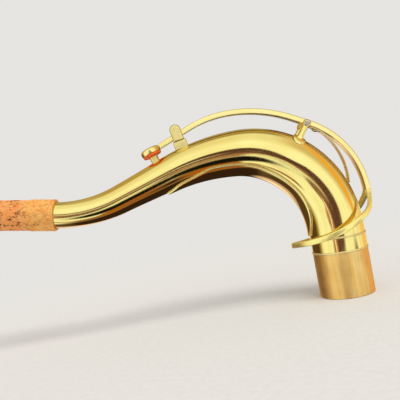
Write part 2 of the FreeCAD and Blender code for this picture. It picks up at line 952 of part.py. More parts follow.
# Flat spring: a flat end under the arm, a set bend, and a long bow down to the tube
def make_spring_route():
    lift = half_arm + value("spring_seat_gap") + value("spring_thickness") / 2
    half_tab = value("spring_tab") / 2
    seat = arm.across(screw_place, lift)
    _, _, heading = arm.at(screw_place)
    back = seat.Rotation.multVec(Vector(0, 0, -half_tab))
    route = Route(seat.Base.x + back.x, seat.Base.z + back.z, heading)
    route.straight(value("spring_tab"))
    route.bend(value("spring_bend_radius"), -value("spring_set_deg"))
    place = value("spring_tip_station")
    clear = float(tube_radius(place) + size.spring_tip_gap + size.spring_thickness / 2)
    tip = tube.across(place, clear).Base
    chord = math.hypot(tip.x - route.x, tip.z - route.z)
    chord_heading = math.degrees(math.atan2(route.x - tip.x, tip.z - route.z))
    half_turn = (chord_heading - route.heading + 180.0) % 360.0 - 180.0
    route.bend(chord / 2 / math.sin(math.radians(abs(half_turn))), 2 * half_turn)
    return route


spring_route = make_spring_route()


def make_flat_spring():
    body = new_body("flat_spring")
    spine = new_sketch(body, "spring_spine", "XZ_Plane")
    spring_route.draw(spine)
    start = spring_route.across(0.0)
    section = rectangle_section(body, "spring_section", start, size.spring_thickness, size.spring_width)
    pipe(body, "spring_strip", spine, section)
    drill(body, "spring_hole", screw_frame, screw_r + size.solder_gap, screw_head_to)
    return body


flat_spring = make_flat_spring()


# Ring: one flat strip, from half of the arm's end, round the collar and back to the other half
def loop_point(degrees):
    """Point of the loop, with 0 at its back, 180 at its tip and the near side first."""
    turn = math.radians(degrees)
    along = value("ring_half_length") * (1 + math.cos(turn))
    rise = (along / (2 * value("ring_half_length"))) ** RING_RISE_POWER
    aside = -value("ring_half_width") * math.sin(turn)
    tilt = math.tan(math.radians(value("ring_tilt_deg")))
    height = value("ring_tip_z") + value("ring_rise") * rise - aside * tilt
    return Vector(along - value("ring_tip_reach"), aside, height)


def join_points(side, degrees, step):
    """Points from the arm's end to the loop, on the near side (-1) or the far side (1)."""
    end_x, end_z, end_heading = arm.at(arm.length)
    facing = math.radians(end_heading)
    flush = half_arm - value("strand_join_thickness") / 2
    gap = value("solder_gap")
    leaving = Vector(-math.sin(facing), 0, math.cos(facing))
    outward = Vector(-math.cos(facing), 0, -math.sin(facing))
    start = Vector(end_x, side * (value("strand_height") + gap) / 2, end_z) + outward * flush + leaving * gap
    first = loop_point(degrees)
    arriving = loop_point(degrees + step) - first
    arriving.normalize()
    stretch = (first - start).Length
    points = [start]
    for share in RING_JOIN_SHARES:
        rest = 1 - share
        point = start * (rest * rest * (1 + 2 * share)) + first * (share * share * (3 - 2 * share))
        point += leaving * (RING_LEAVE_SHARE * stretch * share * rest * rest)
        points.append(point - arriving * (stretch * share * share * rest))
    return points, leaving


def ring_points():
    """Points along the strip's middle, from the near join to the far one."""
    near, leaving = join_points(-1, RING_FIRST_DEG, 1)
    far, _ = join_points(1, -RING_FIRST_DEG, -1)
    span = 360.0 - 2 * RING_FIRST_DEG
    loop = [loop_point(RING_FIRST_DEG + span * n / RING_STEPS) for n in range(RING_STEPS + 1)]
    return near + loop + far[::-1], leaving


def make_key_ring():
    points, leaving = ring_points()
    curve = Part.BSplineCurve()
    curve.interpolate(Points=points, InitialTangent=leaving, FinalTangent=-leaving)
    body = new_body("key_ring")
    sections = []
    for number, point in enumerate(points):
        along = curve.tangent(curve.parameter(point))[0]
        out = Vector(point.x, point.y, 0)
        out = out - along * out.dot(along)
        out.normalize()
        turned_to = Rotation(out, along.cross(out), along, "ZXY")
        name = f"ring_section{number}"
        frame = Placement(point, turned_to)
        # The strip thins from the arm's end to the loop
        from_end = min(number, len(points) - 1 - number)
        share = ((0.0,) + RING_JOIN_SHARES + (1.0,))[min(from_end, len(RING_JOIN_SHARES) + 1)]
        thickness = size.strand_join_thickness * (1 - share) + size.strand_thickness * share
        sections.append(rectangle_section(body, name, frame, thickness, size.strand_height))
    loft(body, "ring_strip", sections)
    return body


key_ring = make_key_ring()

# Guide: a block seated on the tube, a forked guide on it, and a felt on the fork's floor
guide_place = value("guide_station")
guide_foot = float(tube_radius(guide_place))
guide_frame = tube.upright(guide_place, guide_foot)
widening = (guide_frame.Base.x - narrow_x) / (wide_x - narrow_x)
arm_width_there = size.arm_front_width * (1 - widening) + size.arm_width * widening
fork_slot = arm_width_there + size.arm_side_play * 2
fork_width = fork_slot + size.fork_prong * 2


def arm_over_guide():
    """Lowest height of the arm's inner face over the length of the fork, from the tube."""
    heights = []
    for step in range(GUIDE_STEPS + 1):
        face = arm.across(pivot_along_arm * step / GUIDE_STEPS, half_arm)
        seen = guide_frame.inverse().multVec(face.Base)
        if abs(seen.x) <= value("fork_length") / 2:
            heights.append(seen.z)
    return min(heights)


def block(name, length, width, height, lift, frame):
    """A box centred along and across a frame, from a lift above it."""
    item = doc.addObject("Part::Box", name)
    bind(item, "Length", length)
    bind(item, "Width", width)
    bind(item, "Height", height)
    corner = Vector(-float(length) / 2, -float(width) / 2, float(lift))
    item.Placement = frame.multiply(Placement(corner, Rotation()))
    return item


# The block is as high as lets the felt lie just under the arm
felt_stack = size.fork_floor + size.felt_thickness + size.felt_play + size.solder_gap * 2
guide_base_height = -felt_stack + arm_over_guide()
base_sink = tube_radius(guide_place)
guide_blank = block(
    "guide_blank",
    size.guide_base_length,
    fork_width,
    base_sink + guide_base_height,
    -base_sink,
    guide_frame,
)
guide_base = cut("guide_base", guide_blank, tube_core)
fork_from = guide_base_height + size.solder_gap
fork_round = size.fork_length / 2
prongs = block("prongs", size.fork_length, fork_width, size.fork_height - fork_round, fork_from, guide_frame)
round_middle = Vector(0, -float(fork_width) / 2, float(fork_from + size.fork_height - fork_round))
prong_round = cylinder(
    "prong_round", guide_frame.multiply(Placement(round_middle, axis_y)), fork_round, fork_width
)
fork_blank = fuse("fork_blank", [prongs, prong_round])
slot_block = block(
    "slot_block",
    size.fork_length * 2,
    fork_slot,
    size.fork_height * 2,
    fork_from + size.fork_floor,
    guide_frame,
)
guide_fork = cut("guide_fork", fork_blank, slot_block)
guide_felt = block(
    "guide_felt",
    size.fork_length,
    fork_slot - size.solder_gap * 2,
    size.felt_thickness,
    fork_from + size.fork_floor + size.solder_gap,
    guide_frame,
)

NODES = [
    neck_tube,
    tenon,
    tenon_collar,
    neck_cork,
    tip_ring,
    brace_plate,
    octave_pip,
    near_post,
    near_foot,
    far_post,
    far_foot,
    hinge_screw,
    guide_base,
    guide_fork,
    guide_felt,
    hinge_tube,
    key_arm,
    key_ring,
    pad_cup,
    octave_pad,
    flat_spring,
    spring_screw,
]

doc.recompute()
for item in doc.Objects:
    if "Invalid" in item.State or "Error" in item.State:
        raise RuntimeError(f"{item.Name} failed: {item.State}")
for node in NODES:
    if node.Shape.isNull() or not node.Shape.isValid() or not node.Shape.Solids:
        raise RuntimeError(f"{node.Label} has no valid solid")
    if len(node.Shape.Solids) != 1:
        raise RuntimeError(f"{node.Label} has {len(node.Shape.Solids)} solids")
    box = node.Shape.BoundBox
    print(
        f"{node.Label:18s} {node.Shape.Volume:9.1f} mm3  "
        f"x {box.XMin:7.1f} {box.XMax:7.1f}  y {box.YMin:6.1f} {box.YMax:6.1f}  z {box.ZMin:6.1f} {box.ZMax:6.1f}"
    )
for node in NODES:
    node.Shape.exportStep(f"parts/{node.Label}.step")
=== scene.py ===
import bmesh
import bpy
import math
from mathutils import Matrix, Vector, noise


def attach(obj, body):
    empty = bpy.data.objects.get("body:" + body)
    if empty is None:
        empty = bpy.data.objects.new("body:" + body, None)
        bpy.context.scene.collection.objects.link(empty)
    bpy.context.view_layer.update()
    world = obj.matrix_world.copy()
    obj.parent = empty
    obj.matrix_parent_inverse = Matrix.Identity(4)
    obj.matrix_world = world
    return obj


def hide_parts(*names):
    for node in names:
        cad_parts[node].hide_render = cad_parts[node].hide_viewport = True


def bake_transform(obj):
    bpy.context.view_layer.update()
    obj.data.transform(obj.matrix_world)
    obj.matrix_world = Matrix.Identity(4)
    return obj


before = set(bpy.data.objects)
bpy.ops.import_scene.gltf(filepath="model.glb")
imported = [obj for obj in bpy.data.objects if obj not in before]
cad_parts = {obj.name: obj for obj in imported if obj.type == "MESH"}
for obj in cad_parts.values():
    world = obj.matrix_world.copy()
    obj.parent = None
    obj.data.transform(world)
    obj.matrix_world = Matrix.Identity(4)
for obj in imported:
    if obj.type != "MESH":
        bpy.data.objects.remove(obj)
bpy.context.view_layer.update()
MM = 0.001

# Sizes of the model, in millimetres and degrees
GAP = 0.05
RUNNING_GAP = 0.06
# Tenon and collar
TENON_R = 13.8
TENON_WALL = 1.1
TENON_TOP = 22.3
COLLAR_TOP = 30.6
COLLAR_R = 13.85
BEAD_R = 14.2
BEAD_HEIGHT = 1.0
SPIGOT_TOP = 33.8
# Bent tube
TUBE_WALL = 0.65
SEAT_LENGTH = 4.4
SEAT_D = 27.5
SHOULDER_RADIUS, SHOULDER_TURN = 46.2, 87.4
CROWN_RADIUS, CROWN_TURN = 102.0, 20.0
SLOPE_LENGTH = 28.8
THROAT_RADIUS, THROAT_TURN = 70.2, 27.2
TIP_D = 12.9
# Cork and tip ring
CORK_GAP = 0.6
CORK_LENGTH = 48.0
CORK_R = 8.25
CORK_FRESH = 13.0
CORK_WORN_R = 7.95
TIP_RING_LENGTH = 2.4
TIP_RING_R = 7.3
TIP_RING_BEVEL = 0.6
# Plate under the bend
PLATE_FROM, PLATE_TO = 1.5, 116.0
PLATE_THICK = 1.0
PLATE_HALF = 11.9
PLATE_TIP_HALF = 1.4
# Octave pip, pad and cup
PIP_PLACE = 113.9
PIP_R = 2.2
PIP_RIM_R = 2.45
PIP_RIM_HEIGHT = 0.8
PIP_BORE_R = 0.9
PIP_RISE = 2.9
PIP_DEPTH = 3.0
PAD_SEAT_GAP = 0.1
PAD_R = 4.9
PAD_PROUD = 1.4
PAD_THICK = 2.9
CUP_R = 5.2
CUP_WALL = 0.5
CUP_SIDE = 2.2
CUP_DOME = 0.8
CUP_CURVE = 1.5
CUP_CROWN_R = 2.4
CUP_PLAY = 0.04
# Hinge
PIVOT_PLACE = 47.7
PIVOT_HEIGHT = 6.9
BARREL_R = 1.8
BARREL_HALF = 5.0
ROD_R = 1.0
END_PLAY = 0.1
BALL_R = 2.25
BALL_FLAT = 1.5
FOOT_R = 3.5
HEAD_R = 1.5
HEAD_HEIGHT = 0.65
SLOT_WIDE = 0.5
SLOT_DEEP = 0.4
SLOT_LONG = 4.0
SLOT_TURN = 35.0
# Key arm
ARM_THICK = 2.8
ARM_WIDE = 5.8
ARM_NARROW = 3.5
ARM_OVER_PIVOT = 3.3
ARM_LEAN = 62.0
CREST_RUN = 7.2
FRONT_TURN = 22.0
FRONT_RADIUS_SHARE = 0.79
REAR_RUN = 1.8
REAR_RADIUS, REAR_TURN = 46.0, 61.0
WIDENING_RUN = 65.0
WIDENING_BEFORE_CUP = 2.0
# Ring round the collar
STRAND_THICK = 1.5
STRAND_TALL = 2.75
JOIN_THICK = 2.7
JOIN_SHARES = (0.2, 0.45, 0.72)
LOOP_HALF_LENGTH = 21.3
LOOP_HALF_WIDTH = 18.2
LOOP_REACH = 23.2
LOOP_Z = 28.7
LOOP_RISE = 15.4
LOOP_RISE_POWER = 2.3
LOOP_TILT = 6.0
LOOP_FIRST = 45.0
LEAVE_SHARE = 0.3
# Guide for the arm
GUIDE_PLACE = 99.7
BLOCK_HALF = 3.45
FORK_HALF = 2.8
FORK_HEIGHT = 8.6
FORK_FLOOR = 0.6
PRONG = 1.4
FELT_THICK = 0.4
FELT_PLAY = 0.25
SIDE_PLAY = 0.4
# Flat spring and its screw
SPRING_THICK = 0.5
SPRING_WIDE = 4.6
SPRING_SEAT_GAP = 0.12
TAB_FROM = 3.0
TAB_LENGTH = 6.0
SET_RADIUS, SET_TURN = 3.0, 14.0
TOUCH_PLACE = 20.5
TOUCH_GAP = 0.25
STRIP_SCREW_R = 0.8
STRIP_SCREW_DEPTH = 1.5
STRIP_HEAD_R = 1.4
STRIP_HEAD_FROM, STRIP_HEAD_TO = 0.66, 1.46

X = Vector((1, 0, 0))
Y = Vector((0, 1, 0))
Z = Vector((0, 0, 1))
ORIGIN = Vector((0, 0, 0))


class Route:
    """A planar route in XZ; its heading is measured from +Z towards -X, in degrees."""

    def __init__(self, x, z, heading):
        self.x, self.z, self.heading = x, z, heading
        self.runs = []
        self.length = 0.0

    def extend(self, length, curve):
        self.runs.append((self.length, self.x, self.z, self.heading, curve))
        self.x, self.z, self.heading = self.at(self.length + length)
        self.length += length

    def straight(self, length):
        self.extend(length, 0.0)

    def bend(self, radius, turn):
        self.extend(radius * math.radians(abs(turn)), math.copysign(1 / radius, turn))

    def at(self, distance):
        start, x, z, heading, curve = [run for run in self.runs if run[0] <= distance or run[0] == 0][-1]
        along = distance - start
        facing = math.radians(heading)
        if curve == 0:
            return x - math.sin(facing) * along, z + math.cos(facing) * along, heading
        turned_to = facing + along * curve
        x += (math.cos(turned_to) - math.cos(facing)) / curve
        z += (math.sin(turned_to) - math.sin(facing)) / curve
        return x, z, math.degrees(turned_to)

    def frame(self, distance):
        """Point, direction along the route, and direction out to its right."""
        x, z, heading = self.at(distance)
        facing = math.radians(heading)
        along = Vector((-math.sin(facing), 0, math.cos(facing)))
        right = Vector((math.cos(facing), 0, math.sin(facing)))
        return Vector((x, 0, z)), along, right


# The neck's centreline and its outer diameters along it
tube = Route(0.0, COLLAR_TOP, 0.0)
tube.straight(SEAT_LENGTH)
shoulder = tube.length
tube.bend(SHOULDER_RADIUS, SHOULDER_TURN)
crown = tube.length
tube.bend(CROWN_RADIUS, CROWN_TURN)
slope = tube.length
tube.straight(SLOPE_LENGTH)
throat = tube.length
tube.bend(THROAT_RADIUS, -THROAT_TURN)
cork_run = tube.length
cork_from = cork_run + CORK_GAP
cork_to = cork_from + CORK_LENGTH
tube.straight(cork_to + TIP_RING_LENGTH - cork_run)
TAPER = [
    (0.0, SEAT_D),
    (shoulder, SEAT_D),
    ((shoulder + crown) / 2, 27.0),
    (crown, 22.7),
    (slope, 17.9),
    (throat, 14.9),
    (cork_run, 13.4),
    (tube.length, TIP_D),
]
# The plate's half width along it, both as shares of the whole
LEAF_SHARES = [(0.0, 0.0), (0.04, 0.27), (0.12, 0.58), (0.26, 0.84), (0.45, 0.95)]
LEAF_SHARES += [(0.65, 1.0), (0.75, 0.96), (0.86, 0.63), (0.94, 0.38), (1.0, 0.0)]


def table_slopes(table):
    """Slopes at a table's places that keep its curve from overshooting."""
    steps = [(b[1] - a[1]) / (b[0] - a[0]) for a, b in zip(table, table[1:])]
    slopes = [steps[0]]
    for before, after in zip(steps, steps[1:]):
        slopes.append(0.0 if before * after <= 0 else 2 * before * after / (before + after))
    return slopes + [steps[-1]]


def table_value(table, place):
    """Value of a table at a place, on a smooth curve through its values."""
    slopes = table_slopes(table)
    n = max(k for k in range(len(table) - 1) if table[k][0] <= place or k == 0)
    start, first = table[n]
    end, last = table[n + 1]
    run = end - start
    share = (place - start) / run
    rise = share * share * (3 - 2 * share)
    swing = share * (1 - share) ** 2 * slopes[n] + share * share * (share - 1) * slopes[n + 1]
    return first * (1 - rise) + last * rise + swing * run


def tube_radius(distance):
    return table_value(TAPER, min(max(distance, 0.0), tube.length)) / 2


def even(total, steps):
    """Values from 0 to a total, in even steps."""
    return [total * k / steps for k in range(steps + 1)]


def smooth(low, high, x):
    share = min(max((x - low) / (high - low), 0.0), 1.0)
    return share * share * (3 - 2 * share)


def dip(radius, aside):
    """How far a round surface has fallen at a distance aside of its top."""
    return radius - math.sqrt(max(radius * radius - aside * aside, 0.0))


# Mesh helpers
def add_object(name, data):
    obj = bpy.data.objects.new(name, data)
    bpy.context.scene.collection.objects.link(obj)
    return obj


def from_bmesh(name, bm):
    mesh = bpy.data.meshes.new(name)
    bm.to_mesh(mesh)
    bm.free()
    return add_object(name, mesh)


def mesh_object(name, bm, material, angle):
    """A smooth object, its edges sharp from an angle on."""
    bmesh.ops.remove_doubles(bm, verts=bm.verts, dist=2e-7)
    bmesh.ops.recalc_face_normals(bm, faces=bm.faces)
    obj = from_bmesh(name, bm)
    mesh = obj.data
    mesh.polygons.foreach_set("use_smooth", [True] * len(mesh.polygons))
    mesh.set_sharp_from_angle(angle=math.radians(angle))
    mesh.materials.append(material)
    return obj


def seat(obj, body, *nodes):
    """Let an object ride on a body and stand for nodes of the solids."""
    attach(obj, body)
    if nodes:
        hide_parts(*nodes)
    return obj


def trim(piece, material, picked):
    """A second material for the faces that pass a test on their middle, in mm, and normal."""
    piece.data.materials.append(material)
    for face in piece.data.polygons:
        face.material_index = int(picked(face.center / MM, face.normal))


def grid_faces(bm, rows, closed=False):
    """Faces over rows of points, each row a ring; closed joins the last row to the first."""
    verts = [[bm.verts.new(point) for point in row] for row in rows]
    pairs = list(zip(verts, verts[1:]))
    if closed:
        pairs.append((verts[-1], verts[0]))
    for low, high in pairs:
        for j in range(len(low)):
            k = (j + 1) % len(low)
            bm.faces.new((low[j], high[j], high[k], low[k]))
    return verts


def loft(name, rows, material, angle=50.0, ends=True, closed=False):
    """An object over rows of points; ends caps the first and last row."""
    bm = bmesh.new()
    verts = grid_faces(bm, rows, closed)
    if ends:
        bm.faces.new(verts[0][::-1])
        bm.faces.new(verts[-1])
    return mesh_object(name, bm, material, angle)


def circle(middle, across, up, radius, steps):
    """Points round a circle, from one direction towards another."""
    turns = even(2 * math.pi, steps)[:-1]
    return [(middle + (across * math.cos(t) + up * math.sin(t)) * radius) * MM for t in turns]


def lathe(profile, place, steps):
    """Rows of points for a profile of (radius, height) turned about an axis."""
    origin, axis, side = place
    up = axis.cross(side)
    return [circle(origin + axis * height, side, up, max(radius, 1e-4), steps) for radius, height in profile]


def turned(name, profile, place, material, steps=96, angle=40.0, ring=False):
    """A turned piece; ring closes its profile on itself round a bore."""
    return loft(name, lathe(rounded(profile), place, steps), material, angle, ends=False, closed=ring)


def rounded(points, radius=0.0, steps=5, closed=False):
    """An outline of (x, y) with its corners rounded; a third entry overrides the radius."""
    out = []
    count = len(points)
    for n in range(count):
        here = Vector(points[n][:2])
        r = points[n][2] if len(points[n]) > 2 else radius
        if (not closed and n in (0, count - 1)) or r <= 0:
            out.append((here.x, here.y))
            continue
        to_before = Vector(points[n - 1][:2]) - here
        to_after = Vector(points[(n + 1) % count][:2]) - here
        reach = min(r, to_before.length * 0.49, to_after.length * 0.49)
        start = here + to_before.normalized() * reach
        end = here + to_after.normalized() * reach
        pull = math.sin(to_before.angle(to_after) / 2)
        for k in range(steps + 1):
            t = k / steps
            shares = ((1 - t) ** 2, 2 * pull * t * (1 - t), t * t)
            p = (start * shares[0] + here * shares[1] + end * shares[2]) / sum(shares)
            out.append((p.x, p.y))
    return out


def outline_box(half_x, half_y, radius, steps):
    corners = [(-half_x, -half_y), (half_x, -half_y), (half_x, half_y), (-half_x, half_y)]
    return rounded(corners, radius, steps, closed=True)


def frame_matrix(x, y, z):
    return Matrix((x, y, z)).transposed().to_4x4()


def cut_slot(obj, centre, size, rotation):
    """Cut a box out of a mesh, for a screwdriver's slot."""
    bm = bmesh.new()
    bmesh.ops.create_cube(bm, size=1.0)
    scale = Matrix.Diagonal((*(length * MM for length in size), 1))
    bmesh.ops.transform(bm, verts=bm.verts, matrix=Matrix.Translation(centre * MM) @ rotation @ scale)
    cutter = from_bmesh("cutter", bm)
    modifier = obj.modifiers.new("slot", "BOOLEAN")
    modifier.operation = "DIFFERENCE"
    modifier.solver = "EXACT"
    modifier.object = cutter
    bpy.context.view_layer.update()
    evaluated = obj.evaluated_get(bpy.context.evaluated_depsgraph_get())
    result = bpy.data.meshes.new_from_object(evaluated)
    obj.modifiers.remove(modifier)
    obj.data = result
    result.set_sharp_from_angle(angle=math.radians(40))
    bpy.data.objects.remove(cutter)


# Node helpers
def feed(tree, socket, value):
    """Link a socket to another one, or give it a number, place or colour."""
    if isinstance(value, bpy.types.NodeSocket):
        tree.links.new(value, socket)
    elif socket.type == "RGBA":
        socket.default_value = (*value, 1)
    else:
        socket.default_value = value


def node(tree, kind, inputs, **settings):
    """A node with its settings, and its inputs by name or number."""
    item = tree.nodes.new(kind)
    for key, value in settings.items():
        setattr(item, key, value)
    for key, value in inputs.items():
        feed(tree, item.inputs[key], value)
    return item


def noise_of(tree, place, scale, detail=4.0, roughness=0.55, output="Fac"):
    inputs = {"Vector": place, "Scale": scale, "Detail": detail, "Roughness": roughness}
    return node(tree, "ShaderNodeTexNoise", inputs).outputs[output]


def cells_of(tree, place, scale, feature="F1"):
    inputs = {"Vector": place, "Scale": scale}
    return node(tree, "ShaderNodeTexVoronoi", inputs, feature=feature).outputs["Distance"]


def stretched(tree, place, scale):
    return node(tree, "ShaderNodeMapping", {"Vector": place, "Scale": scale}).outputs[0]


def ramp(tree, source, *stops):
    """Colours along a value, from stops of (position, colour)."""
    item = node(tree, "ShaderNodeValToRGB", {0: source})
    elements = item.color_ramp.elements
    elements.remove(elements[-1])
    elements[0].position = stops[0][0]
    elements[0].color = (*stops[0][1], 1)
    for position, colour in stops[1:]:
        elements.new(position).color = (*colour, 1)
    return item.outputs[0]


def mask(tree, source, start, end, first=0.0, last=1.0):
    """Greys along a value, from a first to a last one."""
    return ramp(tree, source, (start, (first,) * 3), (end, (last,) * 3))


def ranged(tree, value, low, high, to_low=0.0, to_high=1.0, kind="LINEAR"):
    inputs = {"Value": value, "From Min": low, "From Max": high, "To Min": to_low, "To Max": to_high}
    return node(tree, "ShaderNodeMapRange", inputs, interpolation_type=kind).outputs[0]


def maths(tree, operation, a, b=0.0):
    return node(tree, "ShaderNodeMath", {0: a, 1: b}, operation=operation).outputs[0]


def times(tree, a, b):
    return maths(tree, "MULTIPLY", a, b)


def mixed(tree, share, under, over, blend="MIX"):
    inputs = {0: share, 6: under, 7: over}
    return node(tree, "ShaderNodeMix", inputs, data_type="RGBA", blend_type=blend).outputs[2]


def mixed_shader(tree, share, first, second):
    return node(tree, "ShaderNodeMixShader", {0: share, 1: first, 2: second}).outputs[0]


def bump_of(tree, height, strength, distance):
    inputs = {"Height": height, "Strength": strength, "Distance": distance}
    return node(tree, "ShaderNodeBump", inputs).outputs[0]


def new_material(name):
    """A material, its empty tree and the object's coordinates in it."""
    material = bpy.data.materials.new(name)
    material.use_nodes = True
    tree = material.node_tree
    tree.nodes.clear()
    return material, tree, node(tree, "ShaderNodeTexCoord", {}).outputs["Object"]


def principled(tree, inputs):
    return node(tree, "ShaderNodeBsdfPrincipled", inputs).outputs[0]


def show(tree, shader):
    node(tree, "ShaderNodeOutputMaterial", {"Surface": shader})


# Materials
def brass(name, light, deep, roughness, coat=0.0, bump=0.02, wear=0.5, metallic=1.0):
    """Brass with soft tarnish, faint wiping marks and a few specks."""
    material, tree, place = new_material(name)
    colour = ramp(tree, noise_of(tree, place, 60.0, 5.0, 0.6), (0.3, deep), (0.62, light))
    specks = mask(tree, cells_of(tree, place, 420.0), 0.02, 0.06, 1.0, 0.0)
    patches = mask(tree, noise_of(tree, place, 140.0, 2.0), 0.58, 0.66, 0.0, wear)
    stain = (deep[0] * 0.45, deep[1] * 0.38, deep[2] * 0.4)
    smears = noise_of(tree, place, 220.0, 6.0, 0.65)
    surface = {
        "Base Color": mixed(tree, times(tree, specks, patches), colour, stain),
        "Metallic": metallic,
        "Roughness": ranged(tree, smears, 0.3, 0.75, *roughness),
        "Coat Weight": coat,
        "Coat Roughness": 0.04,
        "Coat IOR": 1.5,
        "Normal": bump_of(tree, noise_of(tree, place, 900.0, 3.0, 0.5), bump, 0.0002),
    }
    show(tree, principled(tree, surface))
    return material


def satin_brass(name):
    """Bare brass of the tenon: satin, with fine turning lines and lengthwise wear."""
    material, tree, place = new_material(name)
    rings = noise_of(tree, stretched(tree, place, (25.0, 25.0, 2600.0)), 1.0, 3.0, 0.6)
    rubs = noise_of(tree, stretched(tree, place, (420.0, 420.0, 30.0)), 1.0, 4.0, 0.6)
    browns = (0.3, (0.86, 0.48, 0.15)), (0.5, (0.96, 0.6, 0.23)), (0.7, (1.0, 0.74, 0.36))
    dull = ramp(tree, noise_of(tree, place, 90.0), (0.35, (0.86, 0.8, 0.74)), (0.6, (1.0, 1.0, 1.0)))
    surface = {
        "Base Color": mixed(tree, 0.7, ramp(tree, rubs, *browns), dull, "MULTIPLY"),
        "Metallic": 1.0,
        "Roughness": ranged(tree, rings, 0.3, 0.7, 0.4, 0.55),
        "Normal": bump_of(tree, rings, 0.25, 0.0001),
    }
    show(tree, principled(tree, surface))
    return material


def cork_material(name):
    """Cork with dark fissures and flecks, pinker and more marked on its worn half."""
    material, tree, place = new_material(name)
    cloud = noise_of(tree, place, 260.0, 6.0, 0.65)
    tans = [
        (0.25, (0.82, 0.32, 0.06)),
        (0.45, (1.0, 0.45, 0.11)),
        (0.62, (1.0, 0.53, 0.16)),
        (0.8, (1.0, 0.64, 0.26)),
    ]
    warp = noise_of(tree, place, 180.0, 4.0, 0.7, output="Color")
    offset = node(tree, "ShaderNodeVectorMath", {0: warp, "Scale": 0.006}, operation="SCALE")
    moved = node(tree, "ShaderNodeVectorMath", {0: place, 1: offset.outputs[0]}, operation="ADD").outputs[0]
    # Fissures run between cells and flecks sit in them, each in patches; blots run lengthwise
    borders = cells_of(tree, moved, 190.0, "DISTANCE_TO_EDGE")
    fissures = mask(tree, borders, 0.0, 0.08, 1.0, 0.0)
    fissured = mask(tree, noise_of(tree, place, 110.0, 3.0), 0.53, 0.6)
    flecks = mask(tree, cells_of(tree, moved, 640.0), 0.12, 0.3, 0.85, 0.0)
    flecked = mask(tree, noise_of(tree, place, 420.0, 2.0), 0.44, 0.54)
    blotting = noise_of(tree, stretched(tree, place, (320.0, 700.0, 700.0)), 1.0, 3.0, 0.7)
    blots = mask(tree, blotting, 0.57, 0.61)
    split = node(tree, "ShaderNodeSeparateXYZ", {0: place})
    worn = ranged(tree, split.outputs["X"], -0.152, -0.158)
    long_marks = maths(tree, "MAXIMUM", times(tree, fissures, fissured), blots)
    long_marks = times(tree, long_marks, ranged(tree, worn, 0.0, 1.0, 0.3))
    marks = maths(tree, "MAXIMUM", times(tree, flecks, flecked), long_marks)
    marked = mixed(tree, marks, ramp(tree, cloud, *tans), (0.13, 0.035, 0.012))
    surface = {
        "Base Color": mixed(tree, worn, marked, (0.97, 0.8, 0.88), "MULTIPLY"),
        "Roughness": 0.62,
        "Specular IOR Level": 0.25,
        "Normal": bump_of(tree, maths(tree, "SUBTRACT", cloud, marks), 0.5, 0.0003),
    }
    show(tree, principled(tree, surface))
    return material


def soft_material(name, dark, light, scale, roughness, bump):
    """Leather or felt: fine mottling and grain."""
    material, tree, place = new_material(name)
    surface = {
        "Base Color": ramp(tree, noise_of(tree, place, scale, 6.0, 0.6), (0.3, dark), (0.7, light)),
        "Roughness": roughness,
        "Specular IOR Level": 0.25,
        "Normal": bump_of(tree, cells_of(tree, place, scale * 4), bump, 0.0001),
    }
    show(tree, principled(tree, surface))
    return material


def steel_material(name):
    """Warm grey steel with fine lines."""
    material, tree, place = new_material(name)
    lines = noise_of(tree, stretched(tree, place, (300.0, 300.0, 1800.0)), 1.0)
    surface = {
        "Base Color": ramp(tree, lines, (0.3, (0.46, 0.38, 0.33)), (0.7, (0.74, 0.66, 0.6))),
        "Metallic": 1.0,
        "Roughness": ranged(tree, lines, 0.0, 1.0, 0.2, 0.42),
    }
    show(tree, principled(tree, surface))
    return material


GOLD = brass("lacquered_brass", (0.94, 0.77, 0.33), (0.91, 0.71, 0.27), (0.06, 0.13), coat=0.35)
KEY = brass("key_brass", (0.96, 0.8, 0.4), (0.92, 0.73, 0.32), (0.18, 0.27), bump=0.01, wear=0.15)
RING = brass(
    "ring_brass", (1.0, 0.84, 0.33), (0.96, 0.76, 0.26), (0.2, 0.3), bump=0.01, wear=0.2, metallic=0.7
)
PALE = brass("pale_brass", (1.0, 0.86, 0.41), (0.97, 0.78, 0.33), (0.42, 0.55), wear=0.2, metallic=0.5)
# Darker brass for the guide's sides and rounded edges: painted shade that darkens their outlines
RIM_SHADE = brass("rim_shade_brass", (0.72, 0.53, 0.19), (0.55, 0.38, 0.11), (0.26, 0.38), metallic=0.9)
# Paler, less metallic brass for the plate's rims and the collar's beads: a painted highlight along their
# edges
RIM_HIGHLIGHT = brass("rim_highlight_brass", (0.98, 0.83, 0.45), (0.94, 0.75, 0.37), (0.3, 0.42), metallic=0.8)
SPRING = brass("spring_bronze", (0.97, 0.82, 0.52), (0.92, 0.72, 0.42), (0.34, 0.45), wear=0.1, metallic=0.6)
SATIN = satin_brass("satin_brass")
STEEL = steel_material("screw_steel")
CORK = cork_material("cork")
PAD = soft_material("pad_leather", (0.88, 0.11, 0.008), (1.0, 0.21, 0.02), 900.0, 0.5, 0.15)
FELT = soft_material("felt", (0.45, 0.4, 0.33), (0.75, 0.7, 0.6), 2400.0, 0.95, 0.6)


# Neck tube, outside and bore, closed by its two rims
def make_tube():
    places = even(tube.length, 419)
    rows = []
    for wall, stations in ((0.0, places), (TUBE_WALL, places[::-1])):
        for station in stations:
            middle, _, right = tube.frame(station)
            rows.append(circle(middle, right, Y, tube_radius(station) - wall, 128))
    seat(loft("tube_skin", rows, GOLD, 40, ends=False, closed=True), "neck", "neck_tube")


make_tube()

# Tenon, and the collar with two beads
tenon_in = TENON_R - TENON_WALL
collar_in = SEAT_D / 2 - TUBE_WALL
spigot_r = collar_in - GAP
# The outline starts part way up the bore
tenon_profile = [
    (tenon_in, 6.0),
    (tenon_in, 0.0, 0.2),
    (TENON_R, 0.0, 0.35),
    (TENON_R, TENON_TOP),
    (spigot_r, TENON_TOP),
    (spigot_r, SPIGOT_TOP),
    (spigot_r - TUBE_WALL, SPIGOT_TOP),
    (spigot_r - TUBE_WALL, TENON_TOP - TENON_WALL),
    (tenon_in, TENON_TOP - TENON_WALL * 2),
]
upright = (ORIGIN, Z, X)
seat(turned("tenon_sleeve", tenon_profile, upright, SATIN, 160, 30, ring=True), "neck", "tenon")


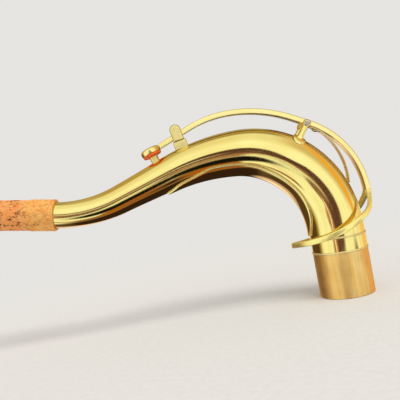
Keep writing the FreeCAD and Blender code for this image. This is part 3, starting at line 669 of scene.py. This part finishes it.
def bead(bottom):
    """Points up a half-round bead."""
    depth, half = BEAD_R - COLLAR_R, BEAD_HEIGHT / 2
    turns = even(math.pi, 10)
    return [(COLLAR_R + depth * math.sin(t), bottom + half - half * math.cos(t)) for t in turns]


beads = bead(TENON_TOP) + bead(COLLAR_TOP - BEAD_HEIGHT)
collar_profile = [(collar_in, TENON_TOP)] + beads + [(collar_in, COLLAR_TOP)]
collar = turned("collar", collar_profile, upright, GOLD, 160, 60, ring=True)
# The beads take the paler brass: a painted highlight along them
trim(seat(collar, "neck", "tenon_collar"), RIM_HIGHLIGHT, lambda at, _: math.hypot(at.x, at.y) > COLLAR_R + GAP)


# Cork and tip ring, on the straight end of the tube
def make_cork():
    """A sleeve with a fresh and a thinner worn part, its skin a little rough and pitted."""
    ease, segment, sides = 0.3, 0.35, 200
    profile = rounded(
        [
            (tube_radius(cork_from) + GAP, 0.0),
            (CORK_R, 0.0, 0.5),
            (CORK_R, CORK_FRESH, 0.5),
            (CORK_WORN_R, CORK_FRESH + ease, ease),
            (CORK_WORN_R, CORK_LENGTH, ease),
            (tube_radius(cork_to) + GAP, CORK_LENGTH),
        ]
    )
    fine = [profile[0]]
    for a, b in zip(profile, profile[1:]):
        pieces = max(1, int(math.hypot(b[0] - a[0], b[1] - a[1]) / segment))
        for k in range(1, pieces + 1):
            fine.append((a[0] + (b[0] - a[0]) * k / pieces, a[1] + (b[1] - a[1]) * k / pieces))
    place = tube.frame(cork_from)
    origin, along, _ = place
    # The skin lies below the profile all over, by its roughness and in its pits
    sunk, roughness, pits = 0.05, 0.04, 0.25
    rows = lathe(fine, place, sides)
    for (radius, height), row in zip(fine, rows):
        if radius < CORK_WORN_R - ease - 0.15:
            continue
        middle = (origin + along * height) * MM
        for j, point in enumerate(row):
            out = (point - middle).normalized()
            rough = noise.fractal(point * 500, 1.0, 2.0, 4)
            pit = max(0.0, noise.noise(point * 260) - 0.25)
            row[j] = point - out * (sunk + roughness * rough + pits * pit) * MM
    seat(loft("cork_sleeve", rows, CORK, 60, ends=False), "neck", "neck_cork")


make_cork()
tip_in = TIP_D / 2 + GAP
tip_profile = [
    (tip_in, 0.0),
    (TIP_RING_R, 0.0, 0.1),
    (TIP_RING_R, TIP_RING_LENGTH - TIP_RING_BEVEL, 0.25),
    (TIP_RING_R - TIP_RING_BEVEL, TIP_RING_LENGTH, 0.08),
    (tip_in, TIP_RING_LENGTH),
]
seat(turned("tip_band", tip_profile, tube.frame(cork_to), GOLD, 128), "neck", "tip_ring")


def make_plate():
    """A leaf that wraps the underside of the bend, with eased rims painted paler as a highlight."""
    across = 48
    rim_share, rim_ease = 0.035, 0.22
    rows = []
    for step in even(math.pi, 220):
        share = (1 - math.cos(step)) / 2
        place = PLATE_FROM + (PLATE_TO - PLATE_FROM) * share
        wide = table_value(LEAF_SHARES, share)
        outer = tube_radius(place) + PLATE_THICK
        opening = (PLATE_TIP_HALF + (PLATE_HALF - PLATE_TIP_HALF) * wide) / outer
        middle, _, right = tube.frame(place)
        out_row, in_row = [], []
        for j in range(across + 1):
            turn = -opening + 2 * opening * j / across
            direction = -right * math.cos(turn) + Y * math.sin(turn)
            eased = rim_ease * (1 - smooth(0.0, rim_share, min(j, across - j) / across))
            out_row.append((middle + direction * (outer - eased)) * MM)
            in_row.append((middle + direction * (outer - PLATE_THICK + GAP)) * MM)
        rows.append(out_row + in_row[::-1])
    bm = bmesh.new()
    verts = grid_faces(bm, rows)
    last = 2 * across + 1
    for row in (verts[0], verts[-1]):
        for j in range(across):
            bm.faces.new([row[j], row[j + 1], row[last - 1 - j], row[last - j]])
    # The rim faces take the paler brass: a painted highlight along the leaf's edges
    rim = (0, across - 1, across, last)
    for n, face in enumerate(bm.faces):
        face.material_index = int(n % (last + 1) in rim)
    leaf = seat(mesh_object("brace_leaf", bm, GOLD, 50), "neck", "brace_plate")
    leaf.data.materials.append(RIM_HIGHLIGHT)


make_plate()

# Octave pip, pad and cup, standing on the tube
pip_base, pip_along, pip_up = tube.frame(PIP_PLACE)
pip_level = tube_radius(PIP_PLACE)
pip_top = pip_level + PIP_RISE
pip_bottom = pip_level - TUBE_WALL - PIP_DEPTH
pip_profile = [
    (PIP_BORE_R, pip_bottom),
    (PIP_R, pip_bottom),
    (PIP_R, pip_top - PIP_RIM_HEIGHT, 0.15),
    (PIP_RIM_R, pip_top - PIP_RIM_HEIGHT, 0.1),
    (PIP_RIM_R, pip_top, 0.25),
    (PIP_BORE_R, pip_top, 0.15),
]
seat(turned("vent_pip", pip_profile, (pip_base, pip_up, -pip_along), PALE, ring=True), "neck", "octave_pip")
pad_base = pip_base + pip_up * (pip_top + PAD_SEAT_GAP)
pad_place = (pad_base, pip_up, -pip_along)
cup_in = CUP_R - CUP_WALL
# The pad's face is slightly hollow over the pip, and its edge is soft
pad_shoulder = PAD_PROUD - CUP_PLAY
hollow, hollow_r, face_r = 0.06, 1.9, 2.5
pad_profile = [
    (0.0, hollow),
    (hollow_r, hollow),
    (face_r, 0.0),
    (PAD_R - 0.35, 0.0, 0.5),
    (PAD_R, 0.5, 0.3),
    (PAD_R, pad_shoulder, 0.1),
    (cup_in - RUNNING_GAP, pad_shoulder),
    (cup_in - RUNNING_GAP, PAD_THICK),
    (0.0, PAD_THICK),
]
pad = seat(turned("pad_disc", pad_profile, pad_place, PAD, angle=60), "octave_key", "octave_pad")
cup_side_top = PAD_PROUD + CUP_SIDE
cup_top = cup_side_top + CUP_DOME
cup_roof = PAD_THICK + CUP_PLAY
cup_profile = [(0.0, cup_roof), (cup_in, cup_roof), (cup_in, PAD_PROUD), (CUP_R - 0.15, PAD_PROUD)]
cup_profile += [(CUP_R - 0.02, PAD_PROUD + 0.06), (CUP_R, PAD_PROUD + 0.2)]
for rise in even(math.pi / 2, 8):
    dome_r = CUP_R - CUP_CURVE * (1 - math.cos(rise))
    cup_profile.append((dome_r, cup_top - CUP_CURVE + CUP_CURVE * math.sin(rise)))
cup_profile += [(CUP_CROWN_R, cup_top), (0.0, cup_top)]
seat(turned("cup", cup_profile, pad_place, KEY, angle=50), "octave_key", "pad_cup")

# Hinge: barrel, screw and the two posts
foot_base, foot_along, foot_up = tube.frame(PIVOT_PLACE)
foot_level = tube_radius(PIVOT_PLACE)
pivot = foot_base + foot_up * (foot_level + PIVOT_HEIGHT)
hinge_place = (pivot, Y, X)
bore_r = ROD_R + RUNNING_GAP
barrel_profile = [
    (bore_r, -BARREL_HALF),
    (BARREL_R, -BARREL_HALF, 0.15),
    (BARREL_R, BARREL_HALF, 0.15),
    (bore_r, BARREL_HALF),
]
seat(turned("barrel", barrel_profile, hinge_place, KEY, ring=True), "octave_key", "hinge_tube")
ball_y = BARREL_HALF + END_PLAY + BALL_FLAT
head_from = ball_y + BALL_FLAT + GAP
head_to = head_from + HEAD_HEIGHT
rod_profile = [
    (0.0, -head_to),
    (HEAD_R, -head_to, 0.35),
    (HEAD_R, -head_from, 0.08),
    (ROD_R, -head_from),
    (ROD_R, ball_y + BALL_FLAT),
    (0.0, ball_y + BALL_FLAT),
]
screw = seat(turned("hinge_rod", rod_profile, hinge_place, STEEL), "neck", "hinge_screw")
slot = (SLOT_LONG, 2 * SLOT_DEEP, SLOT_WIDE)
cut_slot(screw, pivot - Y * head_to, slot, Matrix.Rotation(math.radians(SLOT_TURN), 4, "Y"))
# Heights above the tube and radii up the stem, then radii and heights over the foot
STEM = [(PIVOT_HEIGHT - 1.7, 1.45), (4.0, 1.42), (2.0, 1.44), (1.5, 1.5), (1.2, 1.68), (0.98, 1.95)]
FOOT = [(0.0, 0.94), (1.8, 0.94), (2.7, 0.9), (3.2, 0.8), (3.42, 0.62)]
FOOT += [(FOOT_R, 0.4), (FOOT_R, 0.06), (0.0, 0.06)]


def foot_row(side, radius, steps, height_of):
    """Points round a post's axis, at heights that depend on the place aside."""
    row = []
    for angle in even(2 * math.pi, steps)[:-1]:
        aside = side * ball_y + radius * math.sin(angle)
        ahead = foot_along * (radius * math.cos(angle))
        row.append((foot_base + Y * aside - ahead + foot_up * height_of(aside)) * MM)
    return row


def make_post(name, side):
    """A ball with two flats, its stem and a saddle-shaped foot."""
    limit = math.asin(BALL_FLAT / BALL_R)
    turns = even(2 * limit, 24)
    ball = [(BALL_R * math.cos(t - limit), BALL_R * math.sin(t - limit)) for t in turns]
    ball = [(bore_r, -BALL_FLAT)] + ball + [(bore_r, BALL_FLAT)]
    ball_place = (pivot + Y * (side * ball_y), Y, X)
    seat(turned(f"{name}_ball", ball, ball_place, GOLD, angle=35, ring=True), "neck")
    stem = []
    for height, radius in STEM:
        # The stem's lower rings follow the tube more and more
        follow = 1 - smooth(1.0, 3.9, height)
        stem.append(foot_row(side, radius, 64, lambda y: foot_level + height - dip(foot_level, y) * follow))
    seat(loft(f"{name}_stem", stem, GOLD), "neck", name)
    foot = []
    for radius, height in FOOT:
        skin = foot_level + height
        foot.append(foot_row(side, radius, 96, lambda y: skin - dip(skin, y)))
    seat(loft(f"{name}_foot_disc", foot, KEY, ends=False), "neck", f"{name}_foot")


make_post("near_post", -1)
make_post("far_post", 1)

# Key arm: over the hinge, forward to the cup's side and rearward down to the ring
arm_half = ARM_THICK / 2
lean = math.radians(ARM_LEAN)
over = pivot + Vector((math.cos(lean), 0, math.sin(lean))) * (ARM_OVER_PIVOT - arm_half)
front = Route(over.x, over.z, ARM_LEAN)
front.straight(CREST_RUN)
cup_middle = pad_base + pip_up * ((PAD_PROUD + cup_side_top) / 2)
# The crest's radius and the last straight run are solved so that the arm ends at the cup
level_turn = 90.0 - ARM_LEAN
level, turn = math.radians(level_turn), math.radians(FRONT_TURN)
unit_x = math.sin(level) + FRONT_RADIUS_SHARE * math.sin(turn)
unit_z = 1 - math.cos(level) - FRONT_RADIUS_SHARE * (1 - math.cos(turn))
ahead = front.x - cup_middle.x
above = front.z - cup_middle.z
spread = unit_x * math.sin(turn) + unit_z * math.cos(turn)
crest_r = (ahead * math.sin(turn) - above * math.cos(turn)) / spread
last_run = (ahead * unit_z + above * unit_x) / spread
front.bend(crest_r, level_turn)
front.bend(crest_r * FRONT_RADIUS_SHARE, FRONT_TURN)
front.straight(last_run - CUP_R)
rear = Route(over.x, over.z, ARM_LEAN + 180.0)
rear.straight(REAR_RUN)
rear.bend(REAR_RADIUS - arm_half, -REAR_TURN)


def arm_width(x):
    share = min(max((x - cup_middle.x + WIDENING_BEFORE_CUP) / WIDENING_RUN, 0.0), 1.0)
    return ARM_NARROW + (ARM_WIDE - ARM_NARROW) * share


def arm_section(place):
    """Rounded section at a place from the hinge: nearly flat inside, softly crowned outside."""
    route, flip = (front, 1) if place < 0 else (rear, -1)
    middle, _, right = route.frame(abs(place))
    half = arm_width(middle.x) / 2
    eave, crown_half = half - 0.45, half * 0.45
    points = [
        (-half, -arm_half, 0.25),
        (half, -arm_half, 0.25),
        (eave, arm_half - 0.2, 0.55),
        (crown_half, arm_half, 1.1),
        (-crown_half, arm_half, 1.1),
        (-eave, arm_half - 0.2, 0.55),
    ]
    return [(middle + Y * a + right * (flip * b)) * MM for a, b in rounded(points, closed=True)]


def make_arm():
    rows = [arm_section(place - front.length) for place in even(front.length + rear.length, 319)]
    seat(loft("arm", rows, KEY), "octave_key", "key_arm")


make_arm()


# Ring round the collar
def loop_point(degrees):
    turn = math.radians(degrees)
    along = LOOP_HALF_LENGTH * (1 + math.cos(turn))
    rise = (along / (2 * LOOP_HALF_LENGTH)) ** LOOP_RISE_POWER
    aside = -LOOP_HALF_WIDTH * math.sin(turn)
    tilt = aside * math.tan(math.radians(LOOP_TILT))
    return Vector((along - LOOP_REACH, aside, LOOP_Z + LOOP_RISE * rise - tilt))


end_point, end_along, end_right = rear.frame(rear.length)


def join_points(side):
    """Points of the strand from the arm's end to the loop, on one side."""
    first = loop_point(-side * LOOP_FIRST)
    arriving = (loop_point(-side * (LOOP_FIRST + 1)) - first).normalized()
    start = end_point - end_right * (arm_half - JOIN_THICK / 2) + end_along * GAP
    start += Y * (side * (STRAND_TALL + GAP) / 2)
    stretch = (first - start).length
    points = [start]
    for share in JOIN_SHARES:
        rest = 1 - share
        point = start * (rest * rest * (1 + 2 * share)) + first * (share * share * (3 - 2 * share))
        point += end_along * (LEAVE_SHARE * stretch * share * rest * rest)
        points.append(point - arriving * (stretch * share * share * rest))
    return points


def spline(points, steps):
    """A smooth curve through points: each place on it, and its number along the points."""
    knots = [0.0]
    for a, b in zip(points, points[1:]):
        knots.append(knots[-1] + (b - a).length)
    slopes = [end_along]
    for n in range(1, len(points) - 1):
        before = (points[n] - points[n - 1]) / (knots[n] - knots[n - 1])
        after = (points[n + 1] - points[n]) / (knots[n + 1] - knots[n])
        weight = (knots[n] - knots[n - 1]) / (knots[n + 1] - knots[n - 1])
        slopes.append(before * (1 - weight) + after * weight)
    slopes.append(-end_along)
    result = []
    for place in even(knots[-1], steps):
        n = max(i for i in range(len(points) - 1) if knots[i] <= place + 1e-9)
        run = knots[n + 1] - knots[n]
        s = (place - knots[n]) / run
        p = points[n] * (1 + 2 * s) * (1 - s) ** 2 + points[n + 1] * s * s * (3 - 2 * s)
        p += slopes[n] * run * s * (1 - s) ** 2 - slopes[n + 1] * run * s * s * (1 - s)
        result.append((p, n + s))
    return result


def make_ring():
    """A strip that leaves the arm in two strands, thins out and loops round the collar."""
    near, far = join_points(-1), join_points(1)
    loop = [loop_point(LOOP_FIRST + turn) for turn in even(360 - 2 * LOOP_FIRST, 12)]
    path = spline(near + loop + far[::-1], 400)
    last = len(near) * 2 + len(loop) - 1
    levels = [0.0, *JOIN_SHARES, 1.0]
    rows = []
    for n, (point, index) in enumerate(path):
        along = (path[min(n + 1, len(path) - 1)][0] - path[max(n - 1, 0)][0]).normalized()
        from_end = min(index, last - index, len(levels) - 1.0001)
        step = int(from_end)
        share = levels[step] + (levels[step + 1] - levels[step]) * (from_end - step)
        thick = JOIN_THICK + (STRAND_THICK - JOIN_THICK) * share
        outward = Vector((point.x, point.y, 0))
        outward = (outward - along * outward.dot(along)).normalized()
        tall = along.cross(outward)
        outline = outline_box(thick / 2, STRAND_TALL / 2, 0.4, 4)
        rows.append([(point + outward * a + tall * b) * MM for a, b in outline])
    seat(loft("ring", rows, RING), "octave_key", "key_ring")


make_ring()

# Guide for the arm: seated block, fork and felt
guide_base, guide_along, guide_up = tube.frame(GUIDE_PLACE)
guide_level = tube_radius(GUIDE_PLACE)
guide_point = guide_base + guide_up * guide_level
slot_half = arm_width(guide_point.x) / 2 + SIDE_PLAY
fork_side = slot_half + PRONG
arm_heights = []
for place in even(front.length, 400):
    middle, _, outward = front.frame(place)
    seen = middle - outward * arm_half - guide_point
    if abs(seen.dot(guide_along)) <= FORK_HALF:
        arm_heights.append(seen.dot(guide_up))
block_top = min(arm_heights) - FORK_FLOOR - FELT_THICK - FELT_PLAY - GAP * 2
fork_low = block_top + GAP
fork_arch = fork_low + FORK_HEIGHT - FORK_HALF


def guide_loft(name, levels, outline_of, material, angle, *nodes):
    """A guide's piece from the outline at each (place aside, inset)."""
    rows = []
    for y, inset in levels:
        points = outline_of(y, inset)
        rows.append([(guide_point - guide_along * a + Y * y + guide_up * b) * MM for a, b in points])
    return seat(loft(name, rows, material, angle), "neck", *nodes)


def edge_levels(half, reach, depth):
    """Places aside and insets that round both edges of a plate, with a ring on each face."""
    turns = even(math.pi / 2, 6)
    arc = [(half, reach + 0.12)]
    arc += [(half - depth * (1 - math.cos(t)), reach * (1 - math.sin(t))) for t in turns]
    return [(-y, inset) for y, inset in arc] + arc[::-1]


def block_outline(y, inset):
    half, low, top = BLOCK_HALF - inset, GAP - dip(guide_level, y), block_top - inset
    corners = [(-half, low), (half, low), (half, top, 0.3), (-half, top, 0.3)]
    return rounded(corners, 0.0, 4, closed=True)


def prong_outline(_, inset):
    radius = FORK_HALF - inset
    turns = even(math.pi, 24)
    arch = [(radius * math.cos(t), fork_arch + radius * math.sin(t)) for t in turns]
    return [(radius, fork_low + inset)] + arch + [(-radius, fork_low + inset)]


def floor_outline(_, __):
    top = fork_low + FORK_FLOOR
    return [(-FORK_HALF, fork_low), (FORK_HALF, fork_low), (FORK_HALF, top), (-FORK_HALF, top)]


def felt_outline(_, __):
    half = FORK_HALF - GAP
    low = fork_low + FORK_FLOOR + RUNNING_GAP
    top = low + FELT_THICK - 0.02
    return rounded([(-half, low), (half, low), (half, top, 0.15), (-half, top, 0.15)], 0.0, 3, closed=True)


def make_guide():
    rounding, facing_aside = 0.5, 0.93
    ends = edge_levels(fork_side, 0.6, rounding)
    inner = [((fork_side - rounding) * k / 5, 0.0) for k in range(-4, 5)]
    levels = ends[: len(ends) // 2] + inner + ends[len(ends) // 2 :]
    rims = [guide_loft("guide_block", levels, block_outline, PALE, 50, "guide_base")]
    for n, side in enumerate((-1, 1)):
        middle = side * (slot_half + fork_side) / 2
        levels = [(middle + y, inset) for y, inset in edge_levels(PRONG / 2, 0.9, 0.6)]
        rims.append(guide_loft(f"guide_prong{n}", levels, prong_outline, PALE, 50))
    # The sides and rounded edges take the darker brass: painted shade along the guide's outlines
    for piece in rims:
        trim(piece, RIM_SHADE, lambda _, normal: abs(normal.y) < facing_aside)
    walls = [(-slot_half, 0.0), (slot_half, 0.0)]
    guide_loft("guide_floor", walls, floor_outline, PALE, 35, "guide_fork")
    felt_side = slot_half - RUNNING_GAP
    levels = [(felt_side * k / 2, 0.0) for k in range(-2, 3)]
    guide_loft("guide_pad", levels, felt_outline, FELT, 35, "guide_felt")


make_guide()

# Flat spring: a tab under the arm, a small set and one arc down to the tube
tab_middle = TAB_FROM + TAB_LENGTH / 2
tab_point, tab_along, tab_right = rear.frame(tab_middle)
lift = arm_half + SPRING_SEAT_GAP + SPRING_THICK / 2
start = tab_point + tab_right * lift - tab_along * (TAB_LENGTH / 2)
strip = Route(start.x, start.z, rear.at(tab_middle)[2])
strip.straight(TAB_LENGTH)
strip.bend(SET_RADIUS, -SET_TURN)
touch_base, _, touch_right = tube.frame(TOUCH_PLACE)
touch = touch_base + touch_right * (tube_radius(TOUCH_PLACE) + TOUCH_GAP + SPRING_THICK / 2)
chord = math.hypot(touch.x - strip.x, touch.z - strip.z)
chord_heading = math.degrees(math.atan2(strip.x - touch.x, touch.z - strip.z))
half_turn = (chord_heading - strip.heading + 180.0) % 360.0 - 180.0
strip.bend(chord / 2 / math.sin(math.radians(abs(half_turn))), 2 * half_turn)


def make_spring():
    """The strip from the key, past its tab, down to the neck at its tip; it stands in for the solid's
    spring.
    """
    outline = outline_box(SPRING_THICK / 2, SPRING_WIDE / 2, 0.14, 3)
    rows = []
    for place in even(strip.length, 159):
        middle, _, right = strip.frame(place)
        rows.append([(middle + right * a + Y * b) * MM for a, b in outline])
    obj = loft("spring_strip", rows, SPRING)
    bend_from, _, _ = strip.frame(TAB_LENGTH + 1.0)
    bend_to, _, _ = strip.frame(strip.length)
    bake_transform(obj)
    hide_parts("flat_spring")


make_spring()
screw_origin = tab_point + tab_right * arm_half
strip_screw_profile = [
    (0.0, -STRIP_SCREW_DEPTH),
    (STRIP_SCREW_R, -STRIP_SCREW_DEPTH),
    (STRIP_SCREW_R, STRIP_HEAD_FROM),
    (STRIP_HEAD_R, STRIP_HEAD_FROM, 0.06),
    (STRIP_HEAD_R, STRIP_HEAD_TO, 0.3),
    (0.0, STRIP_HEAD_TO),
]
screw_place = (screw_origin, tab_right, Y)
strip_screw = turned("strip_screw", strip_screw_profile, screw_place, STEEL, 64)
seat(strip_screw, "octave_key", "spring_screw")
slot = (SLOT_WIDE, SLOT_LONG, 2 * SLOT_DEEP)
slot_frame = frame_matrix(tab_right.cross(Y), Y, tab_right)
cut_slot(strip_screw, screw_origin + tab_right * STRIP_HEAD_TO, slot, slot_frame)


# Stage, in metres and degrees: floor, world, lamp and camera
FLOOR_X = -0.06
FLOOR_RINGS = [0.001, 0.1, 0.2, 0.35, 0.6, 1.0, 1.6, 2.6, 4.0]
FADE_FROM, FADE_TO = 0.12, 0.55
SUN_TOWARDS = Vector((-0.3, 0.45, -1.0))
SUN_SPREAD = 28.0
CAMERA_PLACE = Vector((-0.0663, -0.247, 0.0604))
CAMERA_ROLL = 10.3


def make_floor():
    bm = bmesh.new()
    rows = [circle(X * (FLOOR_X / MM), X, Y, radius / MM, 96) for radius in FLOOR_RINGS]
    bm.faces.new(grid_faces(bm, rows)[0])
    floor = from_bmesh("floor", bm)
    material, tree, place = new_material("floor")
    grain = noise_of(tree, place, 400.0, 3.0)
    surface = {
        "Base Color": ramp(tree, grain, (0.3, (0.78, 0.77, 0.75)), (0.7, (0.82, 0.81, 0.79))),
        "Roughness": 0.9,
        "Specular IOR Level": 0.0,
    }
    centred = node(tree, "ShaderNodeVectorMath", {0: place, 1: (-FLOOR_X, 0.0, 0.0)}, operation="ADD")
    far = node(tree, "ShaderNodeVectorMath", {0: centred.outputs[0]}, operation="LENGTH")
    clear = node(tree, "ShaderNodeBsdfTransparent", {}).outputs[0]
    fade = step_up(tree, far.outputs["Value"], FADE_FROM, FADE_TO)
    show(tree, mixed_shader(tree, fade, principled(tree, surface), clear))
    floor.data.materials.append(material)
    floor.visible_glossy = False


def step_up(tree, value, low, high):
    """0 below low, 1 above high, smooth between."""
    return ranged(tree, value, low, high, kind="SMOOTHSTEP")


def between(tree, value, start, end, soft):
    """1 between start and end, with soft borders."""
    rise = step_up(tree, value, start - soft, start + soft)
    fall = step_up(tree, value, end - soft, end + soft)
    return times(tree, rise, maths(tree, "SUBTRACT", 1.0, fall))


def sector(tree, side, start, end, soft):
    """1 between two shares of a turn; a start below 0 reaches across the left."""
    if start < 0:
        return maths(tree, "SUBTRACT", 1.0, between(tree, side, end, 1 + start, soft))
    return between(tree, side, start, end, soft)


def oval(tree, p, q, p0, q0, half_p, half_q, degrees, soft):
    """1 inside a turned oval of the laid-flat sphere, with a soft border."""
    cosine, sine = math.cos(math.radians(degrees)), math.sin(math.radians(degrees))
    across = maths(tree, "SUBTRACT", p, p0)
    up = maths(tree, "SUBTRACT", q, q0)
    out = 0.0
    for by_across, by_up in ((cosine / half_p, sine / half_p), (-sine / half_q, cosine / half_q)):
        place = times(tree, across, by_across)
        place = maths(tree, "ADD", place, times(tree, up, by_up))
        out = maths(tree, "ADD", times(tree, place, place), out)
    return maths(tree, "SUBTRACT", 1.0, step_up(tree, maths(tree, "SQRT", out), 1 - soft, 1 + soft))


# What polished metal mirrors, laid out round the direction towards the camera. A sector is a colour,
# its start, end and softness in shares of a turn, and where it sets in as a share of a half turn
SECTORS = [
    # Overhead: the light dims, then turns olive and a dull gold
    ((0.92, 0.92, 0.66), 0.55, 0.9, 0.05, 0.2, 0.42),
    ((0.34, 0.28, 0.09), 0.64, 0.8, 0.04, 0.5, 0.58),
    ((0.44, 0.38, 0.2), 0.5, 1.1, 0.05, 0.62, 0.7),
    # Right: tan, brown beyond it, and a pale orange low down
    ((0.72, 0.6, 0.32), 0.51, 0.66, 0.03, 0.26, 0.4),
    ((0.32, 0.2, 0.1), 0.505, 0.64, 0.01, 0.56, 0.64),
    ((0.95, 0.68, 0.28), 0.42, 0.5, 0.01, 0.45, 0.6),
    # Left: gold, dark brown below it, and orange far behind
    ((0.5, 0.38, 0.13), -0.2, 0.14, 0.03, 0.44, 0.54),
    ((0.1, 0.055, 0.025), 0.0, 0.13, 0.02, 0.5, 0.6),
    ((0.09, 0.048, 0.02), 0.11, 0.2, 0.015, 0.44, 0.54),
    ((0.6, 0.36, 0.1), -0.2, 0.25, 0.03, 0.86, 0.9),
    # Below: brown, then nearly black
    ((0.3, 0.17, 0.09), 0.185, 0.42, 0.02, 0.32, 0.37),
    ((0.035, 0.018, 0.01), 0.185, 0.42, 0.02, 0.43, 0.48),
    # Behind: a bright card, for the metal that faces away
    ((1.0, 1.0, 0.85), 0.0, 1.0, 0.0001, 0.93, 0.96),
]
# A card is a colour and an oval: centre and half sizes as shares of a half turn, its turn in
# degrees and the softness of its border
CARDS = [
    # Right: an orange upright and dark patches
    ((0.95, 0.5, 0.06), 0.43, 0.19, 0.055, 0.24, 4.0, 0.35),
    ((0.09, 0.04, 0.02), 0.5, 0.6, 0.17, 0.09, -38.0, 0.35),
    ((0.13, 0.07, 0.03), 0.31, -0.085, 0.07, 0.035, 0.0, 0.3),
    # Below: copper and brown cards, black ones and a pale tick
    ((0.36, 0.19, 0.09), -0.22, -0.3, 0.08, 0.025, -30.0, 0.35),
    ((0.42, 0.14, 0.015), 0.0, -0.35, 0.05, 0.095, 0.0, 0.3),
    ((0.02, 0.012, 0.008), 0.07, -0.33, 0.035, 0.08, 0.0, 0.4),
    ((0.01, 0.008, 0.006), -0.035, -0.215, 0.085, 0.075, -12.0, 0.25),
    ((0.95, 0.8, 0.55), -0.15, -0.25, 0.05, 0.016, 0.0, 0.3),
    # Low behind: a tan card with a brighter middle
    ((0.7, 0.52, 0.5), -0.44, -0.71, 0.16, 0.32, 58.0, 0.2),
    ((1.15, 0.95, 0.8), -0.394, -0.742, 0.08, 0.17, 62.0, 0.5),
    # In front: brown patches with a pale edge, then a narrow dark shape
    ((0.36, 0.19, 0.11), -0.014, -0.06, 0.022, 0.085, 0.0, 0.35),
    ((0.42, 0.26, 0.15), -0.14, -0.05, 0.075, 0.032, 12.0, 0.3),
    ((0.26, 0.15, 0.1), -0.1, -0.09, 0.06, 0.032, 40.0, 0.3),
    ((1.3, 0.95, 0.9), -0.142, -0.057, 0.042, 0.009, -54.0, 0.3),
    ((0.3, 0.16, 0.1), -0.07, 0.03, 0.05, 0.03, -10.0, 0.35),
    ((0.115, 0.052, 0.042), -0.062, -0.037, 0.045, 0.023, 10.0, 0.3),
    ((0.115, 0.052, 0.042), 0.035, -0.018, 0.07, 0.031, 15.0, 0.25),
    ((0.1, 0.047, 0.035), 0.004, 0.0, 0.024, 0.035, 0.0, 0.25),
    ((0.1, 0.047, 0.035), -0.022, 0.045, 0.042, 0.04, -14.0, 0.25),
]


def mirrored_colour(tree):
    """The colour a mirror sees in each direction."""
    direction = node(tree, "ShaderNodeTexCoord", {}).outputs["Generated"]
    x, y, z = node(tree, "ShaderNodeSeparateXYZ", {0: direction}).outputs
    # The sphere laid flat round the direction -Y: p to the right, q up, rho the share of a half turn
    level = maths(tree, "ADD", times(tree, x, x), times(tree, z, z))
    level = maths(tree, "MAXIMUM", maths(tree, "SQRT", level), 0.0001)
    rho = maths(tree, "DIVIDE", maths(tree, "ARCCOSINE", times(tree, y, -1.0)), math.pi)
    p = times(tree, maths(tree, "DIVIDE", x, level), rho)
    q = times(tree, maths(tree, "DIVIDE", z, level), rho)
    # Share of a turn about it: 0 to the left, 0.25 down, 0.5 to the right, 0.75 up
    side = maths(tree, "ADD", maths(tree, "DIVIDE", maths(tree, "ARCTAN2", q, p), 2 * math.pi), 0.5)
    clouds = noise_of(tree, direction, 2.2, 2.0)
    tone = ramp(tree, clouds, (0.3, (1.0, 1.08, 0.86)), (0.7, (1.14, 1.24, 1.08)))
    for colour, start, end, border, low, high in SECTORS:
        share = times(tree, sector(tree, side, start, end, border), step_up(tree, rho, low, high))
        tone = mixed(tree, share, tone, colour)
    for colour, *place in CARDS:
        tone = mixed(tree, oval(tree, p, q, *place), tone, colour)
    return tone


def background(tree, colour):
    return node(tree, "ShaderNodeBackground", {"Color": colour}).outputs[0]


def make_world():
    """Pale surroundings; polished metal also sees the dark and bright cards of the studio."""
    world = bpy.data.worlds.new("studio")
    bpy.context.scene.world = world
    world.use_nodes = True
    tree = world.node_tree
    tree.nodes.clear()
    rays = node(tree, "ShaderNodeLightPath", {}).outputs
    lit = background(tree, (0.63, 0.62, 0.6))
    lit = mixed_shader(tree, rays["Is Glossy Ray"], lit, background(tree, mirrored_colour(tree)))
    seen = mixed_shader(tree, rays["Is Camera Ray"], lit, background(tree, (0.79, 0.78, 0.76)))
    node(tree, "ShaderNodeOutputWorld", {"Surface": seen})


def make_lamp():
    """One broad, soft lamp from above and in front; mirrors don't see it."""
    data = bpy.data.lights.new("soft_sun", "SUN")
    data.energy = 1.35
    data.angle = math.radians(SUN_SPREAD)
    data.color = (1.0, 0.98, 0.94)
    sun = add_object("soft_sun", data)
    sun.rotation_euler = SUN_TOWARDS.to_track_quat("-Z", "Y").to_euler()
    sun.visible_glossy = False


def make_camera():
    """A camera at the photograph's viewing angle, rolled like it."""
    data = bpy.data.cameras.new("camera")
    data.sensor_width = 36.0
    data.lens = 43.2
    data.clip_start = 0.01
    camera = add_object("camera", data)
    roll = math.radians(CAMERA_ROLL)
    right = Vector((math.cos(roll), 0, -math.sin(roll)))
    up = Vector((math.sin(roll), 0, math.cos(roll)))
    camera.matrix_world = Matrix.Translation(CAMERA_PLACE) @ frame_matrix(right, up, -Y)
    bpy.context.scene.camera = camera


make_floor()
make_world()
make_lamp()
make_camera()
bpy.context.scene.view_settings.view_transform = "Standard"
